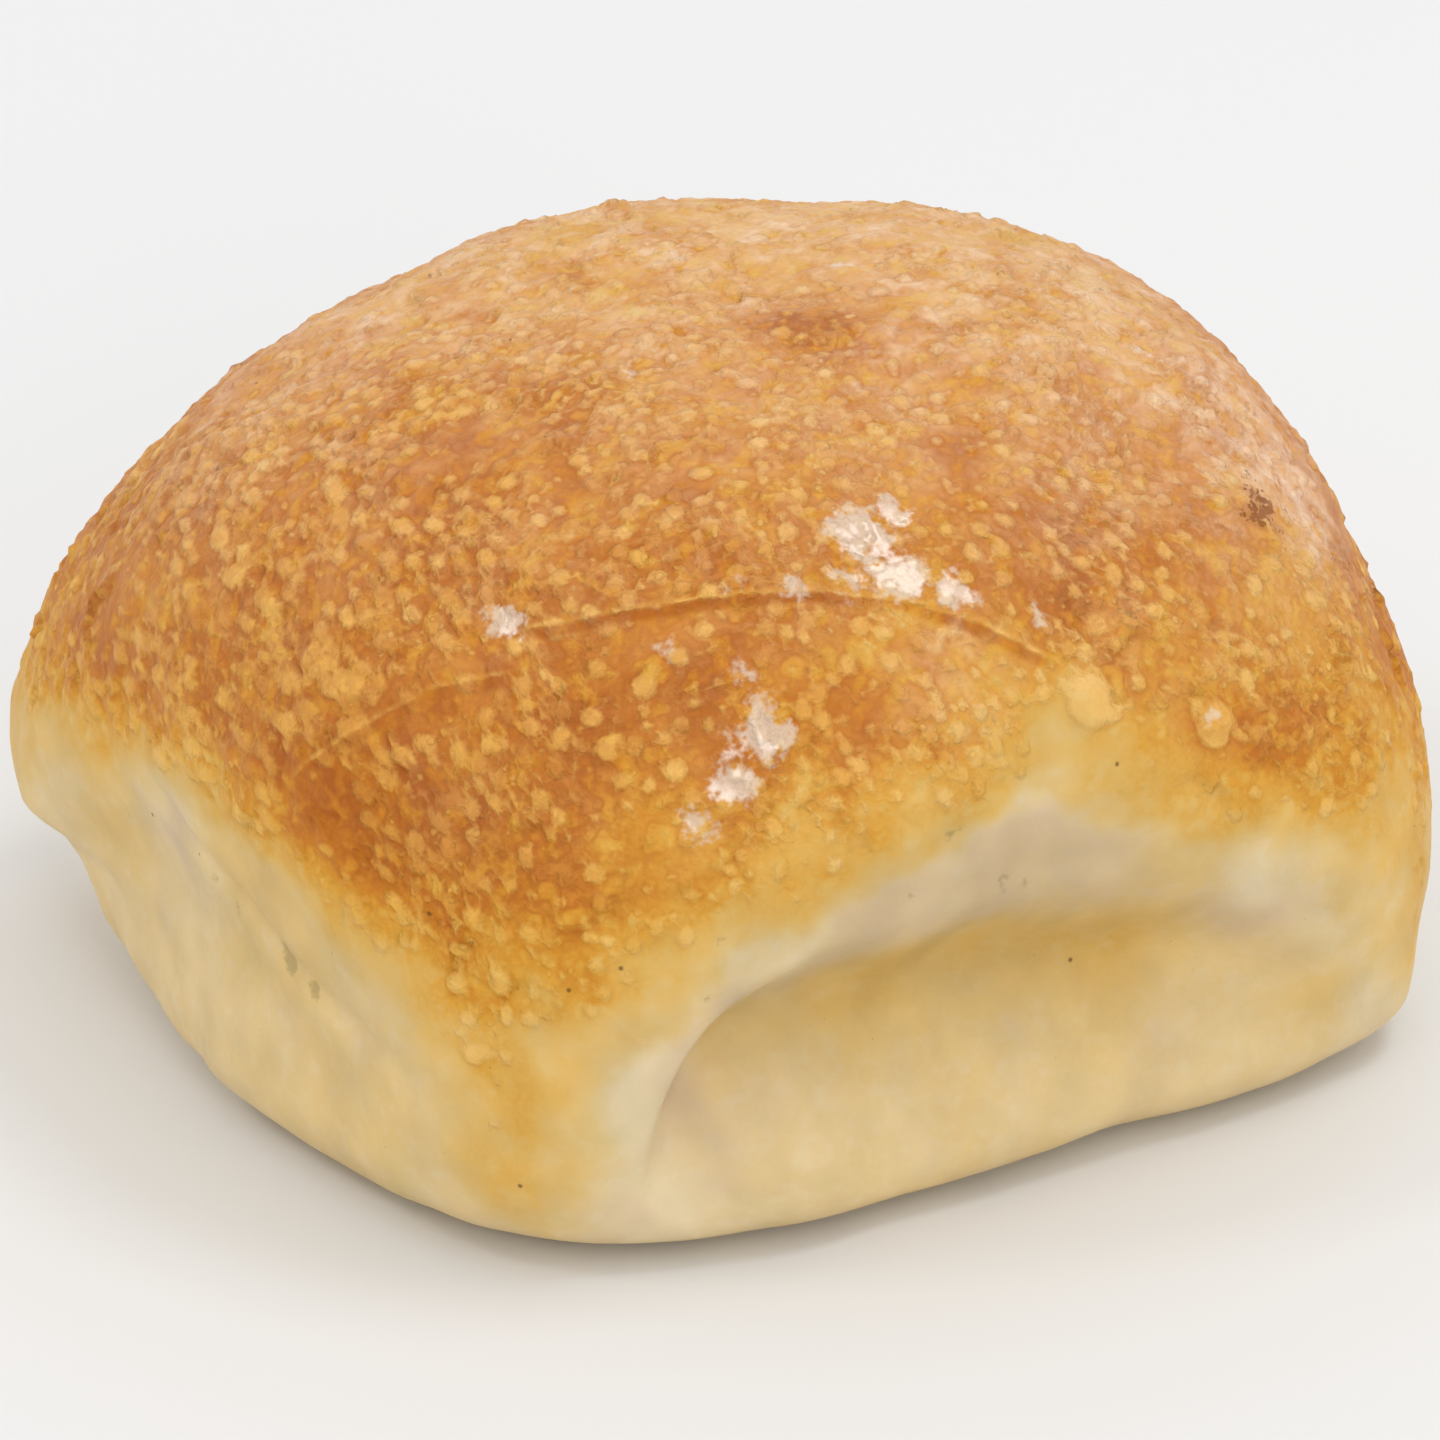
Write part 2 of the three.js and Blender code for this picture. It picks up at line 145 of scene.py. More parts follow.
# ---- Swells: where the loaf stands out a little, or dips ----
SWELLS = table(
    "x y z rise width",
    (34.2, -30.2, 7, -0.5, 3.8),
    (29.5, -32.5, 3, 0.4, 4),
    (9, -39.5, 2, -0.8, 5),
    (-5, -39.5, 2, 0.3, 4),
    (-19.5, -36.5, 2, -0.3, 3.5),
    (-37, -22, 2, -0.3, 3.5),
    (-42.7, 0, 3.5, 0.35, 2.5),
    (-42, 10, 3.5, -0.4, 3.5),
    (-40, 20.5, 5, 0.4, 2.5),
    (-38.5, 24.5, 8.5, -0.7, 2.6),
    (-39, 24, 12.5, 0.5, 2.4),
    (-34.4, 30, 20.5, -0.4, 5),
    (-32.5, 30.5, 30, 0.3, 4),
    (-27, 29.5, 40, -0.3, 5),
    (-20.5, 28, 44.5, -0.3, 4),
    (18, 13.5, 50, -0.6, 4.5),
    (33, 0, 45, 0.5, 2.6),
    (36.5, -6.5, 41.5, 0.35, 2.2),
    (37.3, -22.5, 33, -0.45, 5),
    (37.2, -26, 24.5, 0.45, 4.5),
)

# ---- Skin ----
CREASE_LEDGE = 0.18
CREASE_LIP = 0.12
CREASE_CUT = 0.04
CREASE_WIDTH = 0.8
CREASE_FADE = (1.8, 3.2)
CREASES = table(
    "strength points",
    (1, [
        (-30.3, -22.1, 42.2), (-27.5, -24.5, 43), (-21.9, -27.7, 44.1), (-13.6, -31.3, 44.4),
        (-7.4, -33.8, 43.4), (-3.3, -36, 41.7), (1.1, -38.1, 39.1), (3.2, -39.2, 37.8),
    ]),
    (0.75, [
        (-41.8, -12.2, 30.6), (-40.7, -13.9, 32.7), (-37.6, -18, 36.7), (-34.7, -20.6, 39.1),
        (-30.6, -24.6, 40.6),
    ]),
    (0.9, [(-23, -32.7, 39.9), (-20, -33.7, 40.7), (-17.2, -33.8, 41.5)]),
    (0.5, [(-13.2, -24, 48.4), (-12.2, -26.4, 47.9), (-13, -28.6, 47.2)]),
    (0.5, [(-24, 0.5, 49.2), (-25.6, -1.6, 48.7), (-26.8, -3.2, 48.2)]),
    (0.5, [(2.4, -3.6, 51.9), (3.8, -5.4, 51.8), (4.8, -7.4, 51.7)]),
    (0.45, [(8.8, -31.8, 44.4), (11.2, -32.6, 43.9), (13.5, -32.6, 43.3)]),
    (0.5, [(-30.6, -33.9, 21.2), (-29.2, -35, 19.7), (-28.1, -35.7, 18.4), (-26.7, -36.6, 18)]),
)
WRINKLE_SEED = 12
WRINKLE_COUNT = 7
TEAR = dict(side=LEFT, start=-10, end=25, height=21.0, slope=-0.35, depth=0.45, width=1.1)
TUCK = dict(angle=151, spread=0.3, height=13.0, drop=3.0, depth=1.1)
WAVES = table(
    "length height turn",
    (31, 0.3, 0.4),
    (19, 0.22, 1.7),
    (11, 0.12, 2.9),
)
SKIN_FADE = 4.0
LARGE_BLISTERS = table(
    "x y z radius rise",
    (4.1, -39.9, 35.9, 1.9, 0.45),
    (13.7, -40.2, 32, 1.6, 0.4),
    (-40.8, -10.6, 34.2, 0.9, 0.3),
    (-39.9, -9.6, 36.6, 0.9, 0.25),
    (-38.5, -11.3, 38.4, 1.1, 0.3),
    (-38.1, -14.5, 37.8, 1, 0.25),
    (-41.9, -2.8, 33.5, 0.8, 0.25),
    (-38.2, 1.5, 40.1, 1, 0.25),
    (-31.9, -1.9, 45.7, 0.95, 0.25),
    (-37.5, -20.4, 34.9, 0.8, 0.3),
    (-35.3, -23.7, 35.7, 0.8, 0.3),
    (-33.6, -25.3, 36.6, 0.8, 0.3),
    (-28.1, -30.9, 37, 0.9, 0.35),
    (-30.2, -28.6, 37.4, 0.85, 0.3),
    (-24.9, -30.5, 40.3, 0.85, 0.3),
    (-22.3, -30.6, 41.8, 0.8, 0.25),
    (-32.6, -27.4, 32.5, 0.9, 0.3),
    (-37.1, -26.6, 21.3, 0.8, 0.25),
    (-35.2, -29.1, 22, 0.9, 0.3),
    (-36.7, -27.3, 19, 0.7, 0.2),
    (-34.8, -29.6, 19.9, 0.8, 0.2),
    (-33.6, -30.9, 19.9, 0.7, 0.2),
    (-36.5, -27.6, 16.7, 0.85, 0.25),
    (-35, -29.5, 16.9, 0.7, 0.2),
    (-35.4, -29.1, 11.9, 0.5, 0.15),
)
BLISTER_SEED = 7
BLISTER_TRIES = 20000
BLISTER_RADIUS = (0.28, 0.8)
BLISTER_SMALLNESS = 2.4
BLISTER_RISE = 0.2
BLISTER_GAP = 0.96
BLISTER_REACH = 0.6
BLISTER_WARP = 0.34
LONG_BLISTERS = 0.4

# ---- Flakes: the skin is cracked into cells that tilt a little ----
FLAKE_SEED = 21
FLAKE_COUNT = 5200
FLAKE_TILT = 0.1
FLAKE_GROOVE = 0.06

# ---- Marks: small torn pits in the pale sides ----
MARKS = table(
    "x y z radius depth",
    (-43.4, -10.1, 16.4, 1, 0.4),
    (-43.6, -9.4, 17.6, 0.6, 0.3),
    (-42.8, -13.1, 15.7, 0.8, 0.3),
    (-44, -1.2, 19.1, 0.45, 0.25),
    (-43.9, -3.9, 17.9, 0.4, 0.2),
    (-7.9, -41.6, 30, 0.4, 0.2),
    (-7.2, -41.7, 30.2, 0.35, 0.2),
    (-2.7, -42.7, 25, 0.5, 0.2),
    (-1, -42.8, 24.2, 0.45, 0.15),
    (-2.4, -42.8, 23.6, 0.35, 0.15),
    (-10.2, -42, 26, 0.35, 0.2),
    (-23.5, -38.1, 25.2, 0.4, 0.2),
    (-24, -38.1, 21.1, 0.35, 0.15),
)
SPECKS = [
    (-34.2, -30.2, 7.4), (-38.2, -24.4, 25.7), (-29.3, -34.7, 23.6), (5.9, -42.8, 14.8),
    (5.5, -41.4, 31.7), (-43.7, 7.4, 20.3), (-32.0, -32.6, 22.1),
]
# Greyish pink painted shade, low in the hollow's left fold and under the brow.
SHADE_SPOTS = table(
    "x y z radius amount",
    (-23.4, -38.5, 12.4, 1.6, 1),
    (-22.9, -38.8, 15.5, 1.5, 0.5),
    (-22, -39.2, 20, 1.6, 0.5),
    (-9, -41.8, 27.5, 3.2, 0.35),
    (-2, -42.7, 25, 3, 0.4),
    (-29, -35.1, 20.4, 1, 0.5),
)

# ---- Baking: 0 is raw dough, 0.4 gold, 0.8 orange brown, 1 and over brown ----
SIDE_BAKE = 0.11
GOLD_BAKE = 0.42
CRUST_BAKE = 0.44
# Painted shade: the hollows' depths are drawn more baked, warmer and darker.
HOLLOW_SHADE_BAKE = 0.28
UNDERSIDE_BAKE = 0.42
# The far top paler: partly less baked, partly painted sheen.
FAR_TOP_PALER = 0.25
PATCHY_BAKE = 0.06
LUMPY_BAKE = 0.17
# Places that are darker or paler than what is around them. Those in the front hollow and under its
# brow also paint its shade darker or lighter.
BROWNED = table(
    "x y z radius amount",
    (-39.2, -15, 34, 8, 0.1),
    (-36.5, -25.5, 30.5, 7, 0.09),
    (-29, -28, 38, 8, 0.12),
    (-40.8, -15.5, 29.5, 6, 0.08),
    (-14, -15, 50.5, 10, -0.09),
    (-30, -34, 26.5, 5, -0.1),
    (-25, -36.5, 30.5, 6.5, -0.18),
    (-35, -29, 25.5, 4, -0.1),
    (-36.8, -27, 19.5, 4.5, 0.15),
    (-36, -28.2, 8.5, 3.2, 0.08),
    (-31, -33.5, 19, 4.5, 0.05),
    (-31, -33.5, 11, 3.5, 0.04),
    (-27.2, -36.3, 14.5, 3.6, -0.42),
    (-42, -8, 26, 8, 0.08),
    (2.4, -7.9, 51.9, 4.2, 0.42),
    (-26, -9, 48, 8, 0.15),
    (6, -32.3, 44.8, 4.5, 0.1),
    (2.2, -40.2, 35.5, 4.5, -0.2),
    (-3, -38.3, 38.5, 5, -0.2),
    (-9, -35.5, 41.5, 4.5, -0.13),
    (9.5, -39.5, 34.5, 5, -0.1),
    (22, -37.5, 29, 9, -0.04),
    (21, -35, 37, 7, -0.07),
    (33, -28, 22, 13, -0.01),
    (24, -35, 36, 6, -0.15),
    (9, -30, 45.5, 6, -0.07),
    (12, -42, 24.2, 4, 0.14),
    (16.5, -41, 13.5, 6, 0.03),
    (-41, -18, 24, 6, 0.06),
    (-12, -42, 17.8, 3.2, 0.08),
    (9, -42.4, 16.5, 4, 0.05),
    (-26.7, -35.8, 4.7, 5, -0.12),
    (-42.3, -14.7, 7.7, 7, 0.07),
    (25.4, -37.4, 14.6, 6, 0.06),
    (-43.2, 10.1, 23.4, 5, 0.1),
    (-43.9, 3.8, 18.7, 5, -0.1),
    (-5, -42, 10, 8, 0.03),
    (18.1, -40.6, 20.2, 4.5, -0.17),
    (23.6, -38.4, 14.3, 4, -0.08),
    (28.1, -35.4, 6.1, 4.5, -0.13),
    (22.7, -38.8, 9.3, 3, 0.08),
    (7.7, -42.7, 11, 4, 0.1),
    (12.7, -42, 19.6, 3.5, 0.08),
    (27.4, -36.2, 19.8, 3, -0.08),
    (23.5, -38.3, 7.9, 3.5, 0.08),
    (31.4, -32.6, 26.8, 3.5, -0.12),
    (-17.6, -40.8, 20.2, 3, -0.12),
    (-25, -37.7, 18.4, 2.5, 0.05),
    (-43.8, -5.9, 21.9, 4, 0.12),
    (-43.2, -12.5, 18.8, 4.5, 0.09),
    (-42.7, 13.6, 18.5, 4.5, 0.09),
    (-39.8, -22, 9.8, 5, 0.05),
    (28.6, -34.8, 26.9, 5, -0.16),
    (32.8, -31.8, 21, 3.5, 0.06),
    (12, -41, 30.2, 4, 0.03),
)

# ---- Dryness and painted sheen: the chalky bloom and a painted sheen on the crust's far side, a bald patch, and a scorch beside it ----
BLOOM_AND_SHEEN_SIDE = 45
BLOOM_AND_SHEEN_SPOTS = table(
    "x y z radius amount",
    (28.6, -25.2, 41.4, 6.2, 0.46),
    (2.4, -7.9, 51.9, 4.5, -0.25),
    (-22, 2, 49, 12, -0.07),
    (-6, -38.5, 38.5, 4, 0.12),
    (-40.8, -15.5, 29.5, 6, -0.06),
)
SCORCH = dict(x=23.8, y=-29.8, z=41.2, radius=3.0)

# ---- Smooth: places where the crust has few blisters and cracks ----
SMOOTH = table(
    "x y z radius amount",
    (-40.8, -15.5, 29.5, 6, 1),
    (12, -41, 30.2, 5, 1),
    (-25, -36.5, 30.5, 4.5, 1),
)

# ---- Glossy spots: a clear coat, and a painted highlight in their colour ----
GLOSSY = table(
    "x y z radius",
    (-7.7, -29.2, 46.6, 2.6),
    (-4.6, -28.8, 47, 1.7),
    (-9.9, -31.7, 44.8, 1.4),
    (-6.6, -32.6, 44.4, 2.3),
    (-3.6, -34.2, 43.4, 1.8),
    (-17, -29.5, 44.8, 0.9),
    (-13.6, -31, 44.6, 1),
    (-19.4, -33.4, 40.6, 1.2),
    (-19, -35.7, 37.7, 2.2),
    (-21.6, -36.3, 34.9, 1.8),
    (-24, -36.1, 32.8, 1.4),
    (-30.1, -21.5, 42.9, 1.6),
    (-22.8, -30.2, 41.9, 0.8),
    (1.8, -37, 41.6, 1.2),
    (13.4, -39.8, 32.8, 0.8),
)
GLOSSY_SEED = 3
GLOSSY_COUNT = 5

# ---- Noise: the size of the largest lumps, the octaves and the seed of each ----
NOISES = dict(
    warp_x=(2.4, 1, 11), warp_y=(2.4, 1, 12), warp_z=(2.4, 1, 13),
    edge=(7.0, 3, 1), fray=(1.8, 2, 2), patches=(14.0, 2, 3), lumps=(4.0, 3, 7), pale=(5.0, 2, 8),
    hollow=(7.0, 2, 4), hue=(6.0, 2, 9), mottle=(4.0, 3, 16), bloom=(5.0, 3, 10),
    clump=(8.0, 3, 5), clusters=(3.2, 2, 15), crackle=(9.0, 2, 14), skin=(2.6, 4, 6),
)
SKIN_NOISE = 0.08

# ---- Mesh ----
TOP_CELLS = 144
SIDE_RINGS = 108
RING_CROWDING = 1.2
UNDERSIDE_INSETS = (0.3, 0.9, 1.8, 3.0, 4.6, 6.8, 10.0)


# ======== Helpers ========

def bell(distance, width):
    return np.exp(-((distance / width) ** 2))


def ramp(low, high, value):
    share = np.clip((value - low) / (high - low), 0, 1)
    return share * share * (3 - 2 * share)


def turn_from(bearing, degrees):
    turn = bearing - radians(degrees)
    return np.arctan2(np.sin(turn), np.cos(turn))


def outward(degrees):
    return np.array([cos(radians(degrees)), sin(radians(degrees)), 0.0])


def rightward(degrees):
    return outward(degrees + 90)


def spot_of(place):
    return np.array([place["x"], place["y"], place["z"]])


def away_from(points, place):
    return np.linalg.norm(points - spot_of(place), axis=1)


def rough(points, name):
    """Smooth noise, about -1 to 1."""
    size, octaves, seed = NOISES[name]
    shift = Vector((seed * 17.3, seed * 5.1, -seed * 9.7))
    spots = (Vector(point) / size + shift for point in points.tolist())
    return np.array([noise.fractal(spot, 1.0, 2.0, octaves) for spot in spots])


# ======== The form ========

def plan_reach(x, y):
    squareness = np.abs(x / HALF_X) ** PLAN_POWER + np.abs(y / HALF_Y) ** PLAN_POWER
    return squareness ** (1 / PLAN_POWER)


def pillow_points(directions):
    x, y, z = directions.T
    power = np.where(z > 0, DOME_POWER, FOOT_POWER)
    tall = np.where(z > 0, DOME_RISE, FOOT_DROP)
    stretch = (plan_reach(x, y) ** power + np.abs(z / tall) ** power) ** (-1 / power)
    points = directions * stretch[:, None]
    points[:, 2] = np.maximum(points[:, 2] + WAIST_HEIGHT, 0)
    return points


def floor_elevation(x, y):
    return -np.arctan2(WAIST_HEIGHT, FLOOR_SHARE * np.hypot(x, y) / plan_reach(x, y))


def facing_share(starts, angle):
    return ramp(*FACING, starts @ outward(angle))


def arch_level(arch, along, height):
    """0 in the middle of the arch's foot, 1 on the arch and more outside it."""
    left = along < arch["peak"]
    power = np.where(left, arch["left_power"], arch["right_power"])
    across = np.abs(along - arch["peak"]) / np.where(left, arch["left"], arch["right"])
    return (across**power + (height / arch["height"]) ** power) ** (1 / power)


def brow_share(side, along, height):
    inside = 1 - arch_level(side["crust"], along, height)
    return ramp(0, BROW_WIDTH, inside) * ramp(0, BROW_FLOOR, height)


def hollow_share(side, along, height):
    arch = side["hollow"]
    inside = 1 - arch_level(arch, along, height)
    not_left = ramp(-arch["left"], 0, along - arch["peak"])
    at_right = ramp(0, arch["right"], along - arch["peak"])
    ends = side["left_edge"] * (1 - not_left) + side["right_edge"] * at_right
    edge = ends + HOLLOW_EDGE * not_left * (1 - at_right)
    return ramp(0, edge, inside) * ramp(HOLLOW_FLOOR, BELLY_TOP, height)


def corner_pull(starts, bearing, edge):
    moves = np.zeros_like(starts)
    height = starts[:, 2]
    for corner in CORNERS:
        waist = corner["waist"] * bell(height - CORNER_WAIST_HEIGHT, CORNER_WAIST_REACH)
        foot = corner["foot"] * bell(height, CORNER_FOOT_REACH)
        near = bell(turn_from(bearing, corner["angle"]), CORNER_SPREAD) * edge
        moves += (near * (waist + foot))[:, None] * outward(corner["angle"])
    return moves


def side_press(starts, bearing, edge):
    moves = np.zeros_like(starts)
    height = starts[:, 2]
    for side in SIDES:
        along = starts @ rightward(side["angle"])
        waist = side["waist"] * bell(height - SIDE_WAIST_HEIGHT, SIDE_WAIST_REACH)
        foot = side["foot"] * bell(height, SIDE_FOOT_REACH)
        near = bell(turn_from(bearing, side["angle"]), SIDE_SPREAD) * edge
        brow = side["brow"] * brow_share(side, along, height)
        hollow = side["depth"] * hollow_share(side, along, height)
        pressed = facing_share(starts, side["angle"]) * (brow + hollow)
        moves += (near * (waist + foot) - pressed)[:, None] * outward(side["angle"])
    return moves


def dome_move(starts):
    moves = np.zeros_like(starts)
    x, y, z = starts.T
    share = (z / (WAIST_HEIGHT + DOME_RISE)) ** 2
    moves[:, 0] = share * LEAN_X
    moves[:, 1] = share * LEAN_Y
    moves[:, 2] = share * (TILT_X * x + TILT_Y * y)
    for shoulder in SHOULDERS:
        away = np.hypot(x - shoulder["x"], y - shoulder["y"])
        moves[:, 2] += shoulder["rise"] * bell(away, shoulder["width"]) * share
    return moves


def swell_move(starts):
    out = starts - np.array([0, 0, WAIST_HEIGHT])
    out[:, 2] = np.maximum(out[:, 2], 0)
    out /= np.maximum(np.linalg.norm(out, axis=1), 0.001)[:, None]
    rise = sum(swell["rise"] * bell(away_from(starts, swell), swell["width"]) for swell in SWELLS)
    return rise[:, None] * out


def sculpted(starts):
    bearing = np.arctan2(starts[:, 1] / HALF_Y, starts[:, 0] / HALF_X)
    edge = np.minimum(np.hypot(starts[:, 0], starts[:, 1]) / 30, 1) ** 2
    moves = corner_pull(starts, bearing, edge) + side_press(starts, bearing, edge)
    return starts + moves + dome_move(starts) + swell_move(starts)


# ======== Skin relief, by place on the pillow ========

def crease_lines(starts, normals):
    """The named creases and some short wrinkles elsewhere, each as its points and strength."""
    random = np.random.default_rng(WRINKLE_SEED)
    lines = [(np.array(crease["points"]), crease["strength"]) for crease in CREASES]
    crusty = np.flatnonzero((starts[:, 2] > 34) & (starts @ outward(FRONT - 45) < 22))
    for number in random.choice(crusty, WRINKLE_COUNT):
        out = normals[number]
        level = np.cross([0, 0, 1], out) + random.uniform(-0.5, 0.5) * np.cross(out, [1, 0, 0])
        half = level / np.linalg.norm(level) * random.uniform(1.0, 3.2)
        bow = np.cross(out, half) * random.uniform(-0.3, 0.3)
        points = starts[number] + np.array([-half, bow, half])
        lines.append((points, random.uniform(0.12, 0.35)))
    return lines


def crease_place(starts, normals):
    """How far above the nearest crease each point is, and how strong that crease is there."""
    above = np.full(len(starts), 9.0)
    strength = np.zeros(len(starts))
    closest = np.full(len(starts), 9.0)
    for points, most in crease_lines(starts, normals):
        lengths = np.linalg.norm(np.diff(points, axis=0), axis=1)
        travelled = np.concatenate([[0], np.cumsum(lengths)])
        for first, second, begun, length in zip(points, points[1:], travelled, lengths):
            step = (second - first) / length
            offset = starts - first
            along = np.clip(offset @ step, 0, length)
            apart = offset - along[:, None] * step
            distance = np.linalg.norm(apart, axis=1)
            nearer = distance < closest
            side = np.einsum("ij,ij->i", np.cross(normals, step), apart)
            ends = ramp(0, 2.5, begun + along) * ramp(0, 2.5, travelled[-1] - begun - along)
            closest = np.where(nearer, distance, closest)
            above = np.where(nearer, np.sign(side) * distance, above)
            strength = np.where(nearer, most * ends, strength)
    return above, strength * (1 - ramp(*CREASE_FADE, np.abs(above)))


def crease_height(above, strength):
    ledge = CREASE_LEDGE * ramp(-0.7, 0.7, above)
    lip = CREASE_LIP * bell(above - CREASE_WIDTH, CREASE_WIDTH)
    cut = CREASE_CUT * bell(above + CREASE_WIDTH, CREASE_WIDTH)
    return (ledge + lip - cut) * strength


def mark_share(warped):
    """How deep the torn marks are, and how far inside one each point is."""
    pit = np.zeros(len(warped))
    inside = np.full(len(warped), -1.0)
    for mark in MARKS:
        away = away_from(warped, mark)
        pit = np.maximum(pit, mark["depth"] * bell(away, mark["radius"] * 1.2))
        inside = np.maximum(inside, mark["radius"] - away)
    return pit, inside


def tear_share(starts):
    along = starts @ rightward(TEAR["side"])
    line = TEAR["height"] + TEAR["slope"] * along
    start = ramp(TEAR["start"], TEAR["start"] + 6, along)
    end = 1 - ramp(TEAR["end"] - 6, TEAR["end"], along)
    near = bell(starts[:, 2] - line, TEAR["width"]) * facing_share(starts, TEAR["side"])
    return near * start * end


def tuck_share(starts):
    bearing = np.arctan2(starts[:, 1] / HALF_Y, starts[:, 0] / HALF_X)
    under = 1 - ramp(TUCK["height"] - TUCK["drop"], TUCK["height"], starts[:, 2])
    return bell(turn_from(bearing, TUCK["angle"]), TUCK["spread"]) * under


def wave_height(starts):
    height = np.zeros(len(starts))
    for wave in WAVES:
        pace = 2 * pi / wave["length"]
        x = starts[:, 0] * cos(wave["turn"]) + starts[:, 1] * sin(wave["turn"])
        y = starts[:, 1] * cos(wave["turn"]) - starts[:, 0] * sin(wave["turn"])
        crossing = np.sin(pace * y + starts[:, 2] * 0.1)
        height += wave["height"] * np.sin(pace * x + wave["turn"]) * crossing
    return height


def crust_level(starts):
    """Below 1 on the pale sides and above it on the crust, 1 on the arches between them."""
    level = np.full(len(starts), 2.0)
    for side in SIDES:
        inside = arch_level(side["crust"], starts @ rightward(side["angle"]), starts[:, 2])
        facing = facing_share(starts, side["angle"])
        level = np.minimum(level, inside * facing + 2.0 * (1 - facing))
    return level


def underside_share(starts):
    """0 down to the rim of the flat underside, 1 a little way in from it."""
    x, y, height = starts.T
    return np.where(height > 0, 0, ramp(0.01, 0.14, FLOOR_SHARE - plan_reach(x, y)))


def spots_share(starts, spots):
    return sum(spot["amount"] * bell(away_from(starts, spot), spot["radius"]) for spot in spots)


def smooth_share(starts):
    return np.minimum(spots_share(starts, SMOOTH), 1)


def bake_share(starts, hollow):
    """How far each place is baked, with painted shade in the hollows and a partly painted sheen that
    pales the far top.
    """
    height = starts[:, 2]
    level = crust_level(starts) + 0.06 * rough(starts, "edge") + 0.03 * rough(starts, "fray")
    bake = GOLD_BAKE * ramp(0.84, 1.0, level) + CRUST_BAKE * ramp(0.97, 1.18, level)
    bake *= 0.42 * ramp(0, 9, height) + 0.58 * ramp(17, 29, height)
    # The far top paler: partly less baked, partly painted sheen.
    bake -= FAR_TOP_PALER * ramp(-30, 14, starts @ outward(BLOOM_AND_SHEEN_SIDE)) * ramp(42, 51, height)
    bake += spots_share(starts, BROWNED)
    lumps = LUMPY_BAKE * rough(starts, "lumps") * (1 - 0.7 * smooth_share(starts))
    bake += (PATCHY_BAKE * rough(starts, "patches") + lumps) * ramp(0.9, 1.1, level)
    # Painted shade: the hollows' depths drawn more baked and warmer.
    bake += HOLLOW_SHADE_BAKE * hollow * np.clip(0.9 + 0.5 * rough(starts, "hollow"), 0, 1.3)
    bake += 0.03 * rough(starts, "pale") + SIDE_BAKE
    return bake + UNDERSIDE_BAKE * underside_share(starts)


def bloom_and_sheen_share(starts):
    """How pale and chalky the crust's skin is, with a painted sheen strongest on the far top and on a
    pale patch at the right shoulder.
    """
    height = starts[:, 2]
    bloom_and_sheen = 0.035 + 0.04 * ramp(38, 47, height)
    bloom_and_sheen += 0.30 * ramp(-38, 14, starts @ outward(BLOOM_AND_SHEEN_SIDE)) * ramp(28, 50, height)
    bloom_and_sheen *= ramp(24, 34, height)
    bloom_and_sheen += spots_share(starts, BLOOM_AND_SHEEN_SPOTS)
    return np.maximum(bloom_and_sheen, 0) * (1 + 0.6 * rough(starts, "bloom"))


# Painted shade, greyish pink, in the hollow's left fold and under the brow.
def spot_shade_share(warped):
    spot_shade = np.zeros(len(warped))
    for spot in SHADE_SPOTS:
        spot_shade = np.maximum(spot_shade, spot["amount"] * bell(away_from(warped, spot), spot["radius"]))
    return spot_shade


def hollow_painted_shade(starts):
    """Painted shade in the hollows' depths, warm and darker, strongest where the belly begins to
    swell.
    """
    tint = np.zeros(len(starts))
    height = starts[:, 2]
    for side in SIDES:
        arch = side["hollow"]
        along = starts @ rightward(side["angle"])
        half = np.where(along < arch["peak"], arch["left"], arch["right"])
        middle = ramp(0.1, 0.5, 1 - np.abs(along - arch["peak"]) / half)
        inside = hollow_share(side, along, height) * facing_share(starts, side["angle"])
        deep = bell(height - 0.75 * arch["height"], 0.25 * arch["height"])
        tint = np.maximum(tint, inside * middle * deep * side["depth"] / DEEPEST_HOLLOW)
    return tint


def brow_painted_shade(starts):
    """Painted shade under the arches of crust, pinkish and darker."""
    tint = np.zeros(len(starts))
    for side in SIDES:
        along = starts @ rightward(side["angle"])
        share = brow_share(side, along, starts[:, 2]) * facing_share(starts, side["angle"])
        tint = np.maximum(tint, share * ramp(10, 22, starts[:, 2]) * side["brow"] / DEEPEST_BROW)
    return tint


def crackle_share(starts):
    """How dark the seams between the skin's flakes are."""
    crackle = 0.25 + 0.75 * ramp(-0.35, 0.35, rough(starts, "crackle"))
    crackle += 0.5 * bell(away_from(starts, SCORCH), 5.0)
    return crackle * (1 - 0.7 * smooth_share(starts))


def colour_masks(starts, warped):
    """How far each place is baked, how pink or olive, how darkened by painted shade and mottling, and
    how chalky or sheened.
    """
    hollow, brow, spot_shade = hollow_painted_shade(starts), brow_painted_shade(starts), spot_shade_share(warped)
    bake = bake_share(starts, hollow)
    mottle = 0.025 + 0.1 * rough(starts, "mottle")
    # Painted shade under the brows, in the hollows and in the fold spots, with random mottling on the
    # pale sides.
    painted_shade_and_mottle = 0.10 * brow + 0.12 * hollow + 0.12 * spot_shade + mottle * (1 - ramp(0.3, 0.7, bake))
    # Painted shade on the far top.
    painted_shade_and_mottle += 0.03 * ramp(-10, 20, starts @ outward(BLOOM_AND_SHEEN_SIDE)) * ramp(40, 50, starts[:, 2])
    # Pink: random patches of dough, and painted shade under the brows and in the fold spots.
    hue = 0.75 * rough(starts, "hue") + 0.8 * brow + spot_shade
    scorch = bell(away_from(warped, SCORCH), SCORCH["radius"])
    return dict(bake=bake, hue=hue, painted_shade_and_mottle=painted_shade_and_mottle, bloom_and_sheen=bloom_and_sheen_share(starts), scorch=scorch)


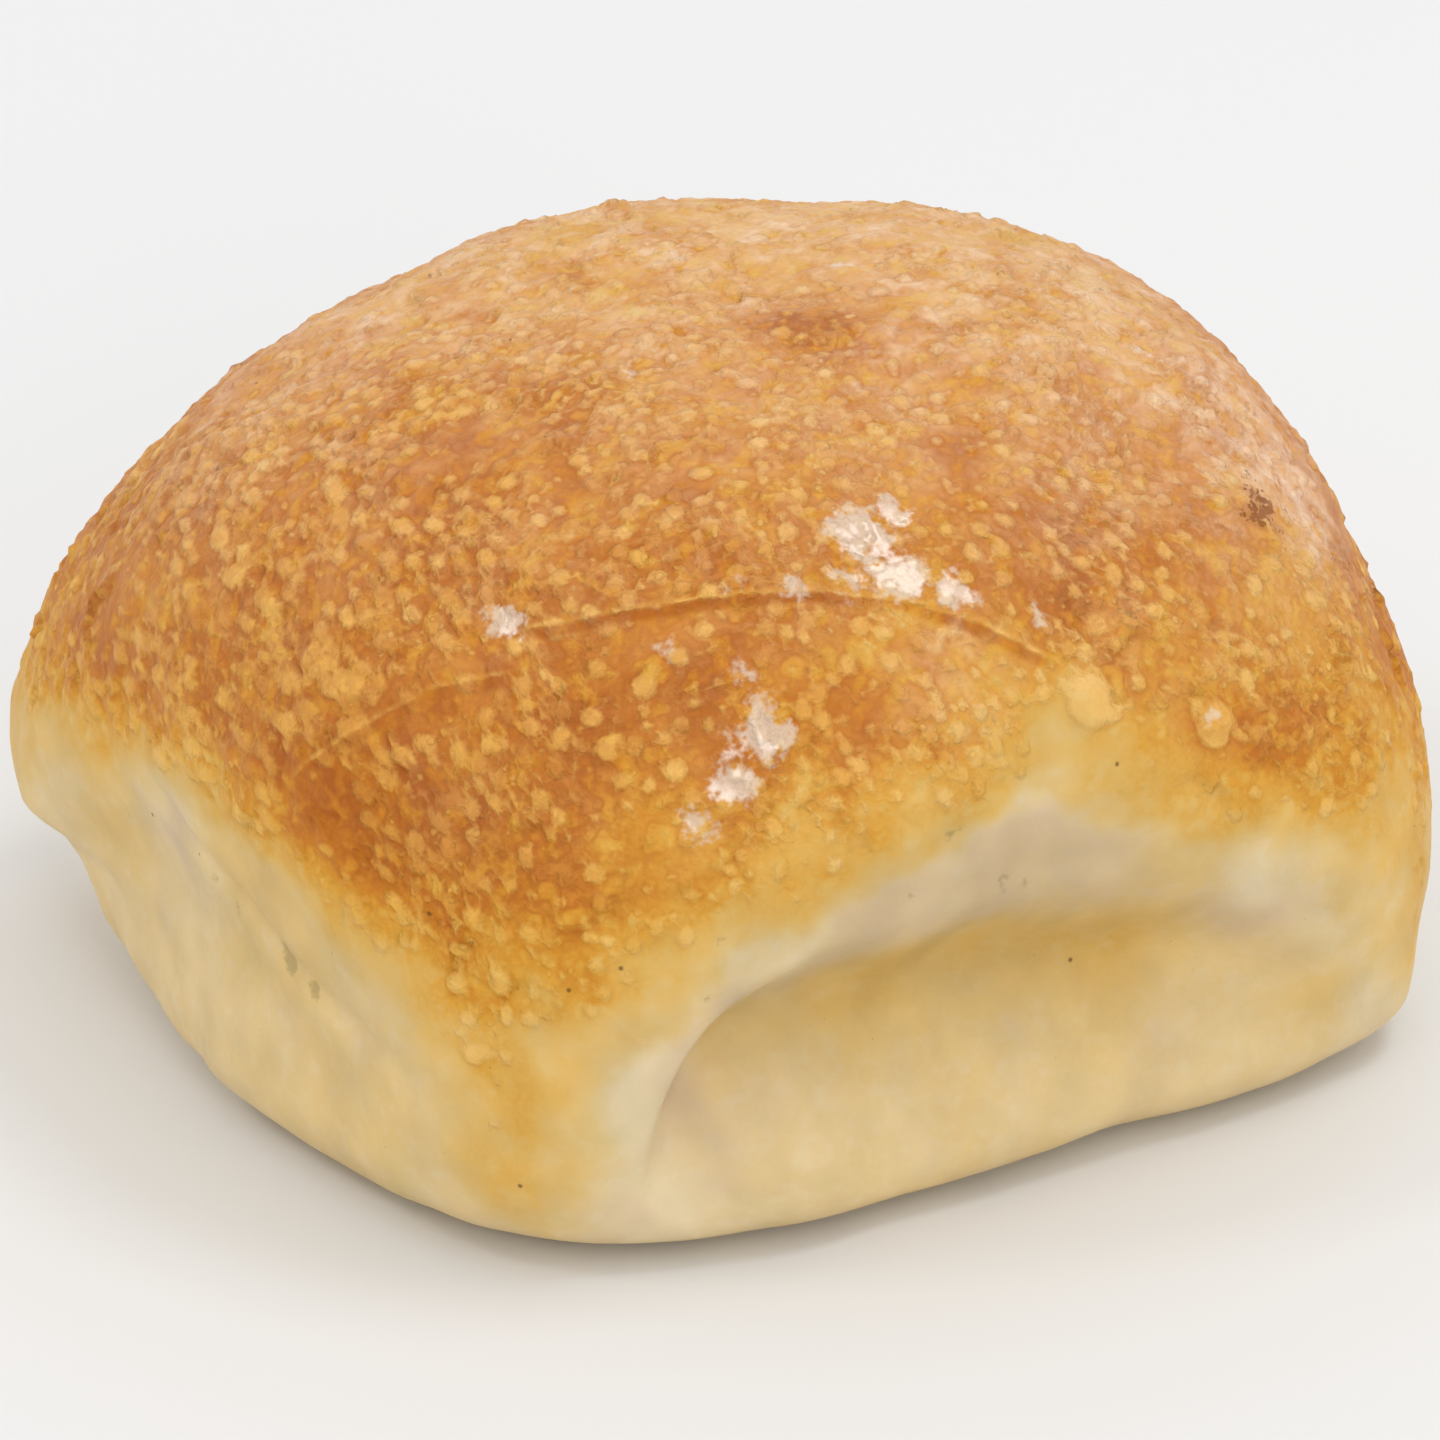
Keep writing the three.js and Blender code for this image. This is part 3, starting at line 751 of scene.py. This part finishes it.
def gloss_share(starts, warped):
    """Over 0 inside the glossy spots, by how many millimetres, and below 0 outside them."""
    random = np.random.default_rng(GLOSSY_SEED)
    crusty = np.flatnonzero(starts[:, 2] > 34)
    spots = [(spot_of(patch), patch["radius"]) for patch in GLOSSY]
    for number in random.choice(crusty, GLOSSY_COUNT):
        if min(np.linalg.norm(starts[number] - spot) for spot, _ in spots) > 9:
            spots.append((starts[number], 0.5 + 1.2 * random.random() ** 2))
    share = np.full(len(starts), -2.0)
    for spot, radius in spots:
        share = np.maximum(share, radius - np.linalg.norm(warped - spot, axis=1))
    return share


# ======== Grid ========

def patch_directions():
    steps = np.tan(np.linspace(-pi / 4, pi / 4, TOP_CELLS + 1))
    x, y = np.meshgrid(steps, steps)
    directions = np.stack([x.ravel(), y.ravel(), np.ones(x.size)], axis=1)
    return directions / np.linalg.norm(directions, axis=1)[:, None]


def patch_edge():
    """The patch's edge, anticlockwise from its front left corner, as vertex numbers."""
    n, wide = TOP_CELLS, TOP_CELLS + 1
    front = list(range(n))
    right = [row * wide + n for row in range(n)]
    back = [n * wide + column for column in range(n, 0, -1)]
    left = [row * wide for row in range(n, 0, -1)]
    return np.array(front + right + back + left)


def ring_directions(edge, share):
    bearing = np.arctan2(edge[:, 1], edge[:, 0])
    floor = floor_elevation(edge[:, 0], edge[:, 1])
    lift = np.arcsin(edge[:, 2]) * (1 - share) + floor * share
    level = np.cos(lift)
    return np.stack([np.cos(bearing) * level, np.sin(bearing) * level, np.sin(lift)], axis=1)


def roll_grid():
    """Points on the pillow and the faces that join them: a patch, rings, and a flat underside."""
    patch = patch_directions()
    upper = patch_edge()
    shares = (np.arange(1, SIDE_RINGS + 1) / SIDE_RINGS) ** RING_CROWDING
    rings = [pillow_points(ring_directions(patch[upper], share)) for share in shares]
    rim = rings[-1]
    rim[:, 2] = 0
    reach = np.linalg.norm(rim, axis=1, keepdims=True)
    rings += [rim * (1 - inset / reach) for inset in UNDERSIDE_INSETS]
    wide = TOP_CELLS + 1
    corner = (np.arange(TOP_CELLS)[:, None] * wide + np.arange(TOP_CELLS)).ravel()
    faces = [np.stack([corner, corner + 1, corner + wide + 1, corner + wide], axis=1)]
    count = len(patch)
    for ring in rings:
        lower = count + np.arange(len(ring))
        count += len(ring)
        faces.append(np.stack([upper, lower, np.roll(lower, -1), np.roll(upper, -1)], axis=1))
        upper = lower
    return np.concatenate([pillow_points(patch), *rings]), np.concatenate(faces), upper


def vertex_normals(points, faces):
    across = points[faces[:, 2]] - points[faces[:, 0]]
    along = points[faces[:, 3]] - points[faces[:, 1]]
    normals = np.zeros_like(points)
    for corner in range(4):
        np.add.at(normals, faces[:, corner], np.cross(across, along))
    return normals / np.linalg.norm(normals, axis=1)[:, None]


# ======== Blisters and flakes ========

def blister_clumps(starts):
    return ramp(-0.35, 0.35, rough(starts, "clump")) * (1 - 0.9 * smooth_share(starts))


def blister_crowding(starts, bake, clump):
    """How thickly the blisters lie: not on the dough, and less on the far and left sides."""
    crowding = (0.12 + clump) * ramp(0.4, 0.9, bake)
    crowding *= 0.25 + ramp(-0.2, 0.35, rough(starts, "clusters"))
    crowding *= 1.1 - ramp(-26, 12, starts @ outward(BLOOM_AND_SHEEN_SIDE))
    crowding *= 1 - 0.5 * ramp(14, 36, starts @ outward(LEFT))
    crowding *= 1 - 0.9 * smooth_share(starts)
    crowding[starts[:, 2] <= 2] = 0
    return crowding


def scatter_blisters(starts, faces, crowding):
    """Blisters of many sizes, the largest placed first, none crossing another."""
    random = np.random.default_rng(BLISTER_SEED)
    sides = starts[faces[:, 1]] - starts[faces[:, 0]], starts[faces[:, 3]] - starts[faces[:, 0]]
    areas = np.linalg.norm(np.cross(*sides), axis=1) * crowding[faces[:, 0]]
    chosen = random.choice(len(faces), BLISTER_TRIES, p=areas / areas.sum())
    a, b = random.random((2, BLISTER_TRIES))
    spots = starts[faces[chosen, 0]] + a[:, None] * sides[0][chosen] + b[:, None] * sides[1][chosen]
    least, most = BLISTER_RADIUS
    radii = least * (most / least) ** (random.random(BLISTER_TRIES) ** BLISTER_SMALLNESS)
    rises = BLISTER_RISE * (0.6 + 0.8 * random.random(BLISTER_TRIES))
    tones = random.random(BLISTER_TRIES)
    placed = [(spot_of(large), large["radius"], large["rise"], 1.0) for large in LARGE_BLISTERS]
    cells = {}
    steps = (-1, 0, 1)
    for number in np.argsort(-radii):
        spot, radius = spots[number], radii[number]
        i, j, k = np.floor(spot / (2 * most)).astype(int).tolist()
        near = [
            other
            for di in steps
            for dj in steps
            for dk in steps
            for other in cells.get((i + di, j + dj, k + dk), ())
        ]
        if near:
            away = np.linalg.norm(spots[near] - spot, axis=1)
            if (away < BLISTER_GAP * (radii[near] + radius)).any():
                continue
        cells.setdefault((i, j, k), []).append(number)
        placed.append((spot, radius, rises[number], tones[number]))
    return placed


def blister_squeeze(spot):
    """How much distance along Y counts: less on the left side, where the blisters are long."""
    return 1 - LONG_BLISTERS * ramp(16, 40, -spot[0]) * ramp(-30, -16, spot[1])


def search_tree(points):
    tree = kdtree.KDTree(len(points))
    for index, point in enumerate(points.tolist()):
        tree.insert(point, index)
    tree.balance()
    return tree


def raise_blisters(warped, blisters):
    """Each point's height on the blisters, how far inside one it is, and that one's tone."""
    tree = search_tree(warped)
    height = np.zeros(len(warped))
    inside = np.full(len(warped), -BLISTER_REACH)
    tone = np.zeros(len(warped))
    for spot, radius, rise, shade in blisters:
        squeeze = blister_squeeze(spot)
        for point, index, _ in tree.find_range(Vector(spot), (radius + BLISTER_REACH) / squeeze):
            x, y, z = point - Vector(spot)
            distance = hypot(x, y * squeeze, z)
            if radius - distance > inside[index]:
                inside[index] = radius - distance
                tone[index] = shade
            dome = 1 - (distance / (1.1 * radius)) ** 2
            if dome > 0:
                height[index] = max(height[index], rise * radius**0.7 * min(1, 1.5 * dome))
    return height, inside, tone


def flake_cells(warped):
    """Cells of the skin: each point's height on its cell, the cell's tone and its edge's distance."""
    random = np.random.default_rng(FLAKE_SEED)
    seeds = warped[random.choice(len(warped), FLAKE_COUNT, replace=False)]
    tilts = random.normal(0, FLAKE_TILT, seeds.shape)
    tones = random.uniform(-1, 1, FLAKE_COUNT)
    tree = search_tree(seeds)
    nearest = [[found[1] for found in tree.find_n(point, 2)] for point in warped.tolist()]
    first, second = np.array(nearest).T
    apart = seeds[second] - seeds[first]
    middle = (seeds[second] + seeds[first]) / 2
    edge = np.einsum("ij,ij->i", middle - warped, apart) / np.linalg.norm(apart, axis=1)
    tilt = np.einsum("ij,ij->i", warped - seeds[first], tilts[first])
    return tilt - FLAKE_GROOVE * bell(edge, 0.35), tones[first], edge


# ======== Materials ========

def paint(red, green, blue):
    """A colour seen on screen, 0 to 255, as Blender's linear values."""
    shares = [value / 255 for value in (red, green, blue)]
    linear = [v / 12.92 if v <= 0.04045 else ((v + 0.055) / 1.055) ** 2.4 for v in shares]
    return (*linear, 1.0)


class Value:
    """A number in a shader, which can be added to, multiplied and so on."""

    def __init__(self, nodes, socket):
        self.nodes = nodes
        self.socket = socket

    def __add__(self, other):
        return self.nodes.math("ADD", self, other)

    def __sub__(self, other):
        return self.nodes.math("SUBTRACT", self, other)

    def __rsub__(self, other):
        return self.nodes.math("SUBTRACT", other, self)

    def __mul__(self, other):
        return self.nodes.math("MULTIPLY", self, other)

    def ramp(self, low, high, to_low=0.0, to_high=1.0, kind="SMOOTHSTEP"):
        node = self.nodes.add("ShaderNodeMapRange", interpolation_type=kind)
        for socket, value in zip(node.inputs, (self, low, high, to_low, to_high)):
            self.nodes.feed(socket, value)
        return Value(self.nodes, node.outputs[0])


def larger(first, second):
    return first.nodes.math("MAXIMUM", first, second)


def clamped(value):
    return value.nodes.math("ADD", value, 0.0, clamp=True)


class Nodes:
    """Short names for making and joining shader nodes."""

    def __init__(self, material):
        material.use_nodes = True
        self.tree = material.node_tree
        self.tree.nodes.clear()

    def add(self, kind, **settings):
        node = self.tree.nodes.new(kind)
        for name, value in settings.items():
            setattr(node, name, value)
        return node

    def feed(self, socket, value):
        source = value.socket if isinstance(value, Value) else value
        if isinstance(source, bpy.types.NodeSocket):
            self.tree.links.new(source, socket)
        else:
            socket.default_value = source

    def math(self, operation, first, second=0.0, clamp=False):
        node = self.add("ShaderNodeMath", operation=operation, use_clamp=clamp)
        self.feed(node.inputs[0], first)
        self.feed(node.inputs[1], second)
        return Value(self, node.outputs[0])

    def mask(self, name):
        return Value(self, self.add("ShaderNodeAttribute", attribute_name=name).outputs["Fac"])

    def blend(self, share, low, high, mode="MIX"):
        node = self.add("ShaderNodeMix", data_type="RGBA", blend_type=mode)
        self.feed(node.inputs["Factor"], share)
        self.feed(node.inputs[6], low)
        self.feed(node.inputs[7], high)
        return node.outputs[2]

    def pattern(self, kind, place, size_mm, **inputs):
        """A noise or cell texture whose lumps are about that size."""
        node = self.add(kind)
        self.feed(node.inputs["Vector"], place)
        node.inputs["Scale"].default_value = 1 / (size_mm * MM)
        for name, value in inputs.items():
            node.inputs[name].default_value = value
        return node

    def noise(self, place, size_mm, detail, roughness):
        """Noise between about -0.5 and 0.5."""
        settings = dict(Detail=detail, Roughness=roughness)
        node = self.pattern("ShaderNodeTexNoise", place, size_mm, **settings)
        return Value(self, node.outputs["Fac"]) - 0.5

    def cells(self, place, size_mm):
        """Distance from the middle of irregular cells, and two random tones for each cell."""
        node = self.pattern("ShaderNodeTexVoronoi", place, size_mm)
        tone = self.add("ShaderNodeSeparateColor")
        self.feed(tone.inputs[0], node.outputs["Color"])
        return [Value(self, socket) for socket in (node.outputs["Distance"], *tone.outputs[:2])]

    def surface(self, shader):
        output = self.add("ShaderNodeOutputMaterial")
        self.feed(output.inputs["Surface"], shader.outputs[0])


BAKE_COLOURS = [
    (0.00, paint(226, 206, 166)),
    (0.22, paint(221, 189, 124)),
    (0.42, paint(219, 175, 90)),
    (0.62, paint(216, 159, 56)),
    (0.82, paint(209, 141, 36)),
    (1.00, paint(199, 122, 26)),
    (1.25, paint(172, 92, 18)),
]
BAKE_SPAN = 1.25
# Pale blister skin, also a painted highlight on the blisters' domes and along the creases' lips.
BLISTER_LIGHT = paint(245, 190, 92)
# Pale chalk, also the colour of the painted sheen.
CHALK_AND_SHEEN = paint(244, 214, 184)
# Pinkish dough, also the colour of the painted shade under the brows.
PINK_DOUGH_AND_SHADE = paint(212, 184, 150)
OLIVE_DOUGH = paint(210, 190, 126)
MARK = paint(150, 134, 84)
SPECK = paint(92, 62, 30)
SCORCHED = paint(138, 76, 14)
# A painted highlight, pale cream, on the glossy spots.
PAINTED_HIGHLIGHT = paint(224, 208, 186)


# Sizes of the grains and pebbles in the skin, of the specks and of the bump.
SMALL_GRAIN = 1.5
FINE_GRAIN = 0.42
PEBBLE_SIZE = 0.78
PEBBLE_WARP = dict(size_mm=0.7, reach_mm=0.4)
SPECK_SPACING = 11.0
SPECK_RIM = 0.24
SPECK_CORE = 0.08
BUMP_STRENGTH = 0.7
BUMP_DEPTH = 0.28
# How baked a blister's top and a dark seam look, next to the skin around them. A blister top's
# paleness is partly a painted highlight, a seam's darkness partly painted shade.
BLISTER_BAKE = -0.25
SEAM_BAKE = 0.32
# How matt the skin is, and what the glossy spots' coat is like.
SKIN_ROUGHNESS = 0.5
GLOSSY_ROUGHNESS = 0.24
SKIN_IOR = 1.3
COAT_ROUGHNESS = 0.17
COAT_IOR = 1.55


def warped_place(n, place, size_mm, reach_mm):
    wander = n.pattern("ShaderNodeTexNoise", place, size_mm, Detail=1.0)
    shifted = n.add("ShaderNodeVectorMath", operation="MULTIPLY_ADD")
    n.feed(shifted.inputs[0], wander.outputs["Color"])
    n.feed(shifted.inputs[1], [reach_mm * MM] * 3)
    n.feed(shifted.inputs[2], place)
    return shifted.outputs[0]


class Skin(Nodes):
    """The crust's shader, with the values that several of its parts read."""

    def __init__(self, material):
        super().__init__(material)
        self.place = self.add("ShaderNodeTexCoord").outputs["Object"]
        self.small = self.noise(self.place, SMALL_GRAIN, 2.0, 0.6)
        self.fine = self.noise(self.place, FINE_GRAIN, 1.0, 0.6)
        self.puff = self.math("ABSOLUTE", self.noise(self.place, SMALL_GRAIN, 1.0, 0.5))
        self.bloom_and_sheen = self.mask("bloom_and_sheen")
        self.flake = self.mask("flake")
        self.tone = self.mask("tone")
        self.baked = self.mask("bake")
        self.crust = self.baked.ramp(0.3, 0.75)
        self.lively = self.crust.ramp(0.0, 1.0, 0.2, 1.0, "LINEAR")
        self.inside = self.mask("inside") + self.fine * 0.16
        self.blister = self.inside.ramp(-0.10, 0.24)
        grain = self.small * 0.55 + (0.09 - self.puff) * 0.7 - self.flake * 0.08
        self.bake = self.baked + grain * self.lively

    def baked_colour(self, bake):
        node = self.add("ShaderNodeValToRGB")
        stops = node.color_ramp.elements
        while len(stops) < len(BAKE_COLOURS):
            stops.new(0.5)
        for stop, (level, colour) in zip(stops, BAKE_COLOURS):
            stop.position = level / BAKE_SPAN
            stop.color = colour
        self.feed(node.inputs[0], self.math("DIVIDE", bake, BAKE_SPAN, clamp=True))
        return node.outputs[0]


def ground_colour(skin):
    """The colour by how far each place is baked, with pinkish and olive raw dough; the pink under the
    brows and in the fold spots is painted shade.
    """
    ground = skin.baked_colour(skin.bake)
    doughy = skin.bake.ramp(0.34, 0.0)
    hue = skin.mask("hue")
    ground = skin.blend(hue.ramp(0.1, 0.9, 0.0, 0.7) * doughy, ground, PINK_DOUGH_AND_SHADE)
    return skin.blend(hue.ramp(-0.1, -0.9, 0.0, 0.6) * doughy, ground, OLIVE_DOUGH)


def seam_share(skin):
    """The dark seams and crevices between the flakes: browner crust, partly painted shade in the
    crevices.
    """
    edge = skin.mask("edge") + skin.fine * 0.9
    seam = larger(edge.ramp(0.6, 0.0) * 0.45, skin.puff.ramp(0.11, 0.0) * 0.5)
    seam = seam * skin.blister.ramp(0.0, 1.0, 1.0, 0.4)
    seam = clamped(seam * skin.mask("crackle") * skin.crust)
    return seam * skin.bloom_and_sheen.ramp(0.08, 0.4, 1.0, 0.35) * skin.baked.ramp(0.5, 0.95, 0.3, 1.0)


def pebble_shares(skin):
    """Blisters too small to model: where they are, and how light each is."""
    place = warped_place(skin, skin.place, **PEBBLE_WARP)
    distance, size, tone = skin.cells(place, PEBBLE_SIZE)
    reach = size.ramp(0.1, 1.0, 0.05, 0.52, "LINEAR")
    pebbles = (reach - distance).ramp(-0.04, 0.24) * skin.mask("clump") * skin.crust
    return pebbles, pebbles * tone.ramp(0.0, 1.0, 0.2, 0.85)


# How much lighter the blisters are: paler blister skin of random tone, with a painted highlight
# strongest in the middle of each dome.
def blister_light(skin, pebble_light):
    light = skin.blister * skin.tone.ramp(0.0, 1.0, 0.08, 0.9, "LINEAR")
    light = larger(clamped(light * (skin.small * 1.2 + 1.0)), pebble_light)
    return light * skin.crust.ramp(0.0, 0.8, 0.5, 1.0) * skin.bloom_and_sheen.ramp(0.05, 0.35, 1.0, 0.35)


def crease_shares(skin):
    """The light lip above each crease, a painted highlight, and the deep orange line under it,
    browner crust partly painted shade under the ledge.
    """
    above = skin.mask("above") + skin.small * 0.12
    crease = skin.mask("crease")
    lip = above.ramp(-0.05, 0.15) * above.ramp(0.55, 0.2) * crease
    line = above.ramp(-1.1, -0.4) * above.ramp(0.12, -0.15) * crease * crease
    return lip, line * 0.75


def dark_share(skin, seam, line):
    """The seams, the lines under the creases, and a rim round each blister, a painted shade at its
    foot.
    """
    rim = skin.inside.ramp(-0.34, -0.10) * skin.inside.ramp(0.06, -0.06)
    return larger(larger(rim * skin.tone.ramp(0.1, 0.8) * skin.crust * 0.38, line), seam)


def with_bloom_and_sheen(skin, colour, light, dark):
    """The chalky bloom and painted sheen, which lie on what stands out."""
    raised = skin.small * 2.4 + skin.flake * 0.25 + light * 0.7 + 0.9 - dark * 0.9
    return skin.blend(clamped(skin.bloom_and_sheen * larger(raised, 0.0)) * skin.crust, colour, CHALK_AND_SHEEN)


def scorched(skin, colour):
    burnt = (skin.mask("scorch") + skin.small * 2.0 + skin.fine * 1.6).ramp(0.7, 1.0)
    return skin.blend(burnt * 0.8, colour, SCORCHED)


def shaded(skin, colour):
    """A fine grain of light and dark, and the darker places: random mottling, and painted shade in
    the hollows, under the brows, in the fold spots and on the far top.
    """
    shade = skin.fine * skin.lively * 0.22 + 1.0 - skin.mask("painted_shade_and_mottle")
    tint = skin.add("ShaderNodeCombineColor")
    for socket in tint.inputs:
        skin.feed(socket, shade)
    return skin.blend(1.0, colour, tint.outputs[0], mode="MULTIPLY")


def marked(skin, colour, speck_spots):
    """The torn marks, some specks anywhere, and the named ones."""
    marks = (skin.mask("mark") + skin.fine * 0.9).ramp(-0.1, 0.35)
    distance, presence, _ = skin.cells(skin.place, SPECK_SPACING)
    specks = distance.ramp(0.022, 0.012) * presence.ramp(0.60, 0.62)
    for spot in speck_spots:
        node = skin.add("ShaderNodeVectorMath", operation="DISTANCE")
        skin.feed(node.inputs[0], skin.place)
        skin.feed(node.inputs[1], spot)
        away = Value(skin, node.outputs["Value"])
        specks = larger(specks, away.ramp(SPECK_RIM * MM, SPECK_CORE * MM))
    return skin.blend(specks * 0.75, skin.blend(marks * 0.55, colour, MARK), SPECK)


def relief_bump(skin, lip, seam, pebbles):
    """What is too fine for the mesh: pebbles, seams, lips and the skin's grain."""
    grain = skin.fine * skin.crust.ramp(0.0, 1.0, 0.15, 0.8)
    relief = skin.inside.ramp(-0.1, 0.4) + pebbles * 0.6 + lip * 0.3 - seam * 0.7 + grain * 0.7
    bump = skin.add("ShaderNodeBump")
    bump.inputs["Strength"].default_value = BUMP_STRENGTH
    bump.inputs["Distance"].default_value = BUMP_DEPTH * MM
    skin.feed(bump.inputs["Height"], relief)
    return bump.outputs[0]


def crust_material(speck_spots):
    material = bpy.data.materials.new("crust")
    skin = Skin(material)
    seam = seam_share(skin)
    pebbles, pebble_light = pebble_shares(skin)
    light = blister_light(skin, pebble_light)
    lip, line = crease_shares(skin)
    dark = dark_share(skin, seam, line)

    # Paler blister skin, with a painted highlight on each dome.
    lighter = skin.blend(0.5, skin.baked_colour(skin.bake + BLISTER_BAKE), BLISTER_LIGHT)
    colour = skin.blend(light, ground_colour(skin), lighter)
    # A painted highlight along each crease's lip.
    colour = skin.blend(clamped((skin.small * 1.6 + 0.36) * lip), colour, BLISTER_LIGHT)
    # Dark seams, crease lines and blister rims: browner crust, partly painted shade.
    colour = skin.blend(dark, colour, skin.baked_colour(skin.bake + SEAM_BAKE))
    colour = with_bloom_and_sheen(skin, colour, light, dark)
    colour = scorched(skin, colour)
    colour = shaded(skin, colour)
    colour = marked(skin, colour, speck_spots)
    gloss = (skin.mask("gloss") + skin.small * 4.2 + skin.fine * 1.4).ramp(0.0, 1.1)
    # The glossy spots' colour is paler: a painted highlight, with the coat's real gloss.
    colour = skin.blend(gloss * 0.6, colour, PAINTED_HIGHLIGHT)

    shader = skin.add("ShaderNodeBsdfPrincipled")
    skin.feed(shader.inputs["Base Color"], colour)
    roughness = gloss.ramp(0.0, 1.0, SKIN_ROUGHNESS, GLOSSY_ROUGHNESS, "LINEAR")
    skin.feed(shader.inputs["Roughness"], roughness)
    skin.feed(shader.inputs["Normal"], relief_bump(skin, lip, seam, pebbles))
    skin.feed(shader.inputs["Coat Weight"], gloss)
    shader.inputs["IOR"].default_value = SKIN_IOR
    shader.inputs["Coat Roughness"].default_value = COAT_ROUGHNESS
    shader.inputs["Coat IOR"].default_value = COAT_IOR
    skin.surface(shader)
    return material


# ======== The roll ========

def fitted(points, box):
    """The points moved and stretched by a hair, so that they just fill the solid's own box."""
    low, high = points.min(axis=0), points.max(axis=0)
    box_low, box_high = (np.array(corner) / MM for corner in box)
    return (points - low) / (high - low) * (box_high - box_low) + box_low


def roll_surface(starts, faces):
    """The roll's points, and the masks for its material."""
    soft = sculpted(starts)
    normals = vertex_normals(soft, faces)
    wander = np.stack([rough(starts, name) for name in ("warp_x", "warp_y", "warp_z")], axis=1)
    warped = starts + BLISTER_WARP * wander
    masks = colour_masks(starts, warped)
    bake = masks["bake"]
    clump = blister_clumps(starts)
    blisters = scatter_blisters(starts, faces, blister_crowding(starts, bake, clump))
    swell, inside, tone = raise_blisters(warped, blisters)
    above, crease = crease_place(starts, normals)
    pit, mark = mark_share(warped)
    flake_height, flake, edge = flake_cells(warped)
    gloss = gloss_share(starts, warped)

    height = crease_height(above, crease) - TEAR["depth"] * tear_share(starts)
    height += swell - pit - TUCK["depth"] * tuck_share(starts)
    height += flake_height * ramp(0.3, 0.6, bake) + SKIN_NOISE * rough(starts, "skin")
    height = wave_height(starts) + height * (1 - 0.5 * ramp(-0.5, 0.5, gloss))
    height *= ramp(0, SKIN_FADE, starts[:, 2])
    masks.update(clump=clump, inside=inside, tone=tone, above=above, crease=crease, mark=mark)
    masks.update(flake=flake, edge=edge, gloss=gloss, crackle=crackle_share(starts))
    return fitted(soft + normals * height[:, None], CAD_BOX), masks


def linked(name, data):
    """A new object in the scene, made of that data."""
    thing = bpy.data.objects.new(name, data)
    bpy.context.collection.objects.link(thing)
    return thing


def build_roll():
    starts, faces, underside = roll_grid()
    points, masks = roll_surface(starts, faces)
    mesh = bpy.data.meshes.new("bread_roll")
    mesh.from_pydata((points * MM).tolist(), [], faces.tolist() + [underside[::-1].tolist()])
    mesh.polygons.foreach_set("use_smooth", [True] * len(faces) + [False])
    for name, values in masks.items():
        attribute = mesh.attributes.new(name, "FLOAT", "POINT")
        attribute.data.foreach_set("value", values.astype(np.float32))
    nearest = [np.linalg.norm(starts - np.array(spot), axis=1).argmin() for spot in SPECKS]
    mesh.materials.append(crust_material([points[number] * MM for number in nearest]))
    roll = linked("bread_roll", mesh)
    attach(roll, "root")
    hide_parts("roll")


# ======== Floor, light and camera ========

CAMERA_AZIMUTH = -31.44
CAMERA_ELEVATION = 26.37
CAMERA_DISTANCE = 600.0
CAMERA_LENS = 213.24
CAMERA_AIM = (-0.71, -0.68, 20.31)
# The floor and lights are in metres and watts.
FLOOR_CORNERS = [(-3, -3, 0), (3, -3, 0), (3, 3, 0), (-3, 3, 0)]
SKY_STRENGTH = 0.88
LIGHT_DISTANCE = 1.2
LIGHT_AIM = Vector((0, 0, 0.02))
LIGHTS = table(
    "name azimuth elevation width height power",
    ("overhead", 62, 67, 0.4, 0.3, 2.3),
    ("front", -15, 25, 0.25, 0.3, 1.6),
    ("left", -110, 49, 0.22, 0.22, 1.2),
)


def add_floor():
    material = bpy.data.materials.new("floor")
    n = Nodes(material)
    shader = n.add("ShaderNodeBsdfPrincipled")
    shader.inputs["Base Color"].default_value = (0.8, 0.8, 0.8, 1)
    shader.inputs["Roughness"].default_value = 0.7
    n.surface(shader)
    mesh = bpy.data.meshes.new("floor")
    mesh.from_pydata(FLOOR_CORNERS, [], [(0, 1, 2, 3)])
    mesh.materials.append(material)
    linked("floor", mesh)


def towards(azimuth, elevation):
    a, e = radians(azimuth), radians(elevation)
    return Vector((sin(a) * cos(e), -cos(a) * cos(e), sin(e)))


def add_light(name, azimuth, elevation, width, height, power):
    light = bpy.data.lights.new(name, "AREA")
    light.shape = "RECTANGLE"
    light.size = width
    light.size_y = height
    light.energy = power
    lamp = linked(name, light)
    lamp.location = towards(azimuth, elevation) * LIGHT_DISTANCE
    lamp.rotation_euler = (LIGHT_AIM - lamp.location).to_track_quat("-Z", "Y").to_euler()


def add_lights():
    world = bpy.data.worlds.new("studio")
    world.use_nodes = True
    background = world.node_tree.nodes["Background"]
    background.inputs["Color"].default_value = (1, 1, 1, 1)
    background.inputs["Strength"].default_value = SKY_STRENGTH
    bpy.context.scene.world = world
    bpy.context.scene.view_settings.view_transform = "Standard"
    for light in LIGHTS:
        add_light(**light)


def add_camera():
    back = towards(CAMERA_AZIMUTH, CAMERA_ELEVATION)
    lens = bpy.data.cameras.new("camera")
    lens.lens = CAMERA_LENS
    lens.sensor_width = 36
    camera = linked("camera", lens)
    camera.location = (Vector(CAMERA_AIM) + back * CAMERA_DISTANCE) * MM
    camera.rotation_euler = back.to_track_quat("Z", "Y").to_euler()
    bpy.context.scene.camera = camera


build_roll()
add_floor()
add_lights()
add_camera()
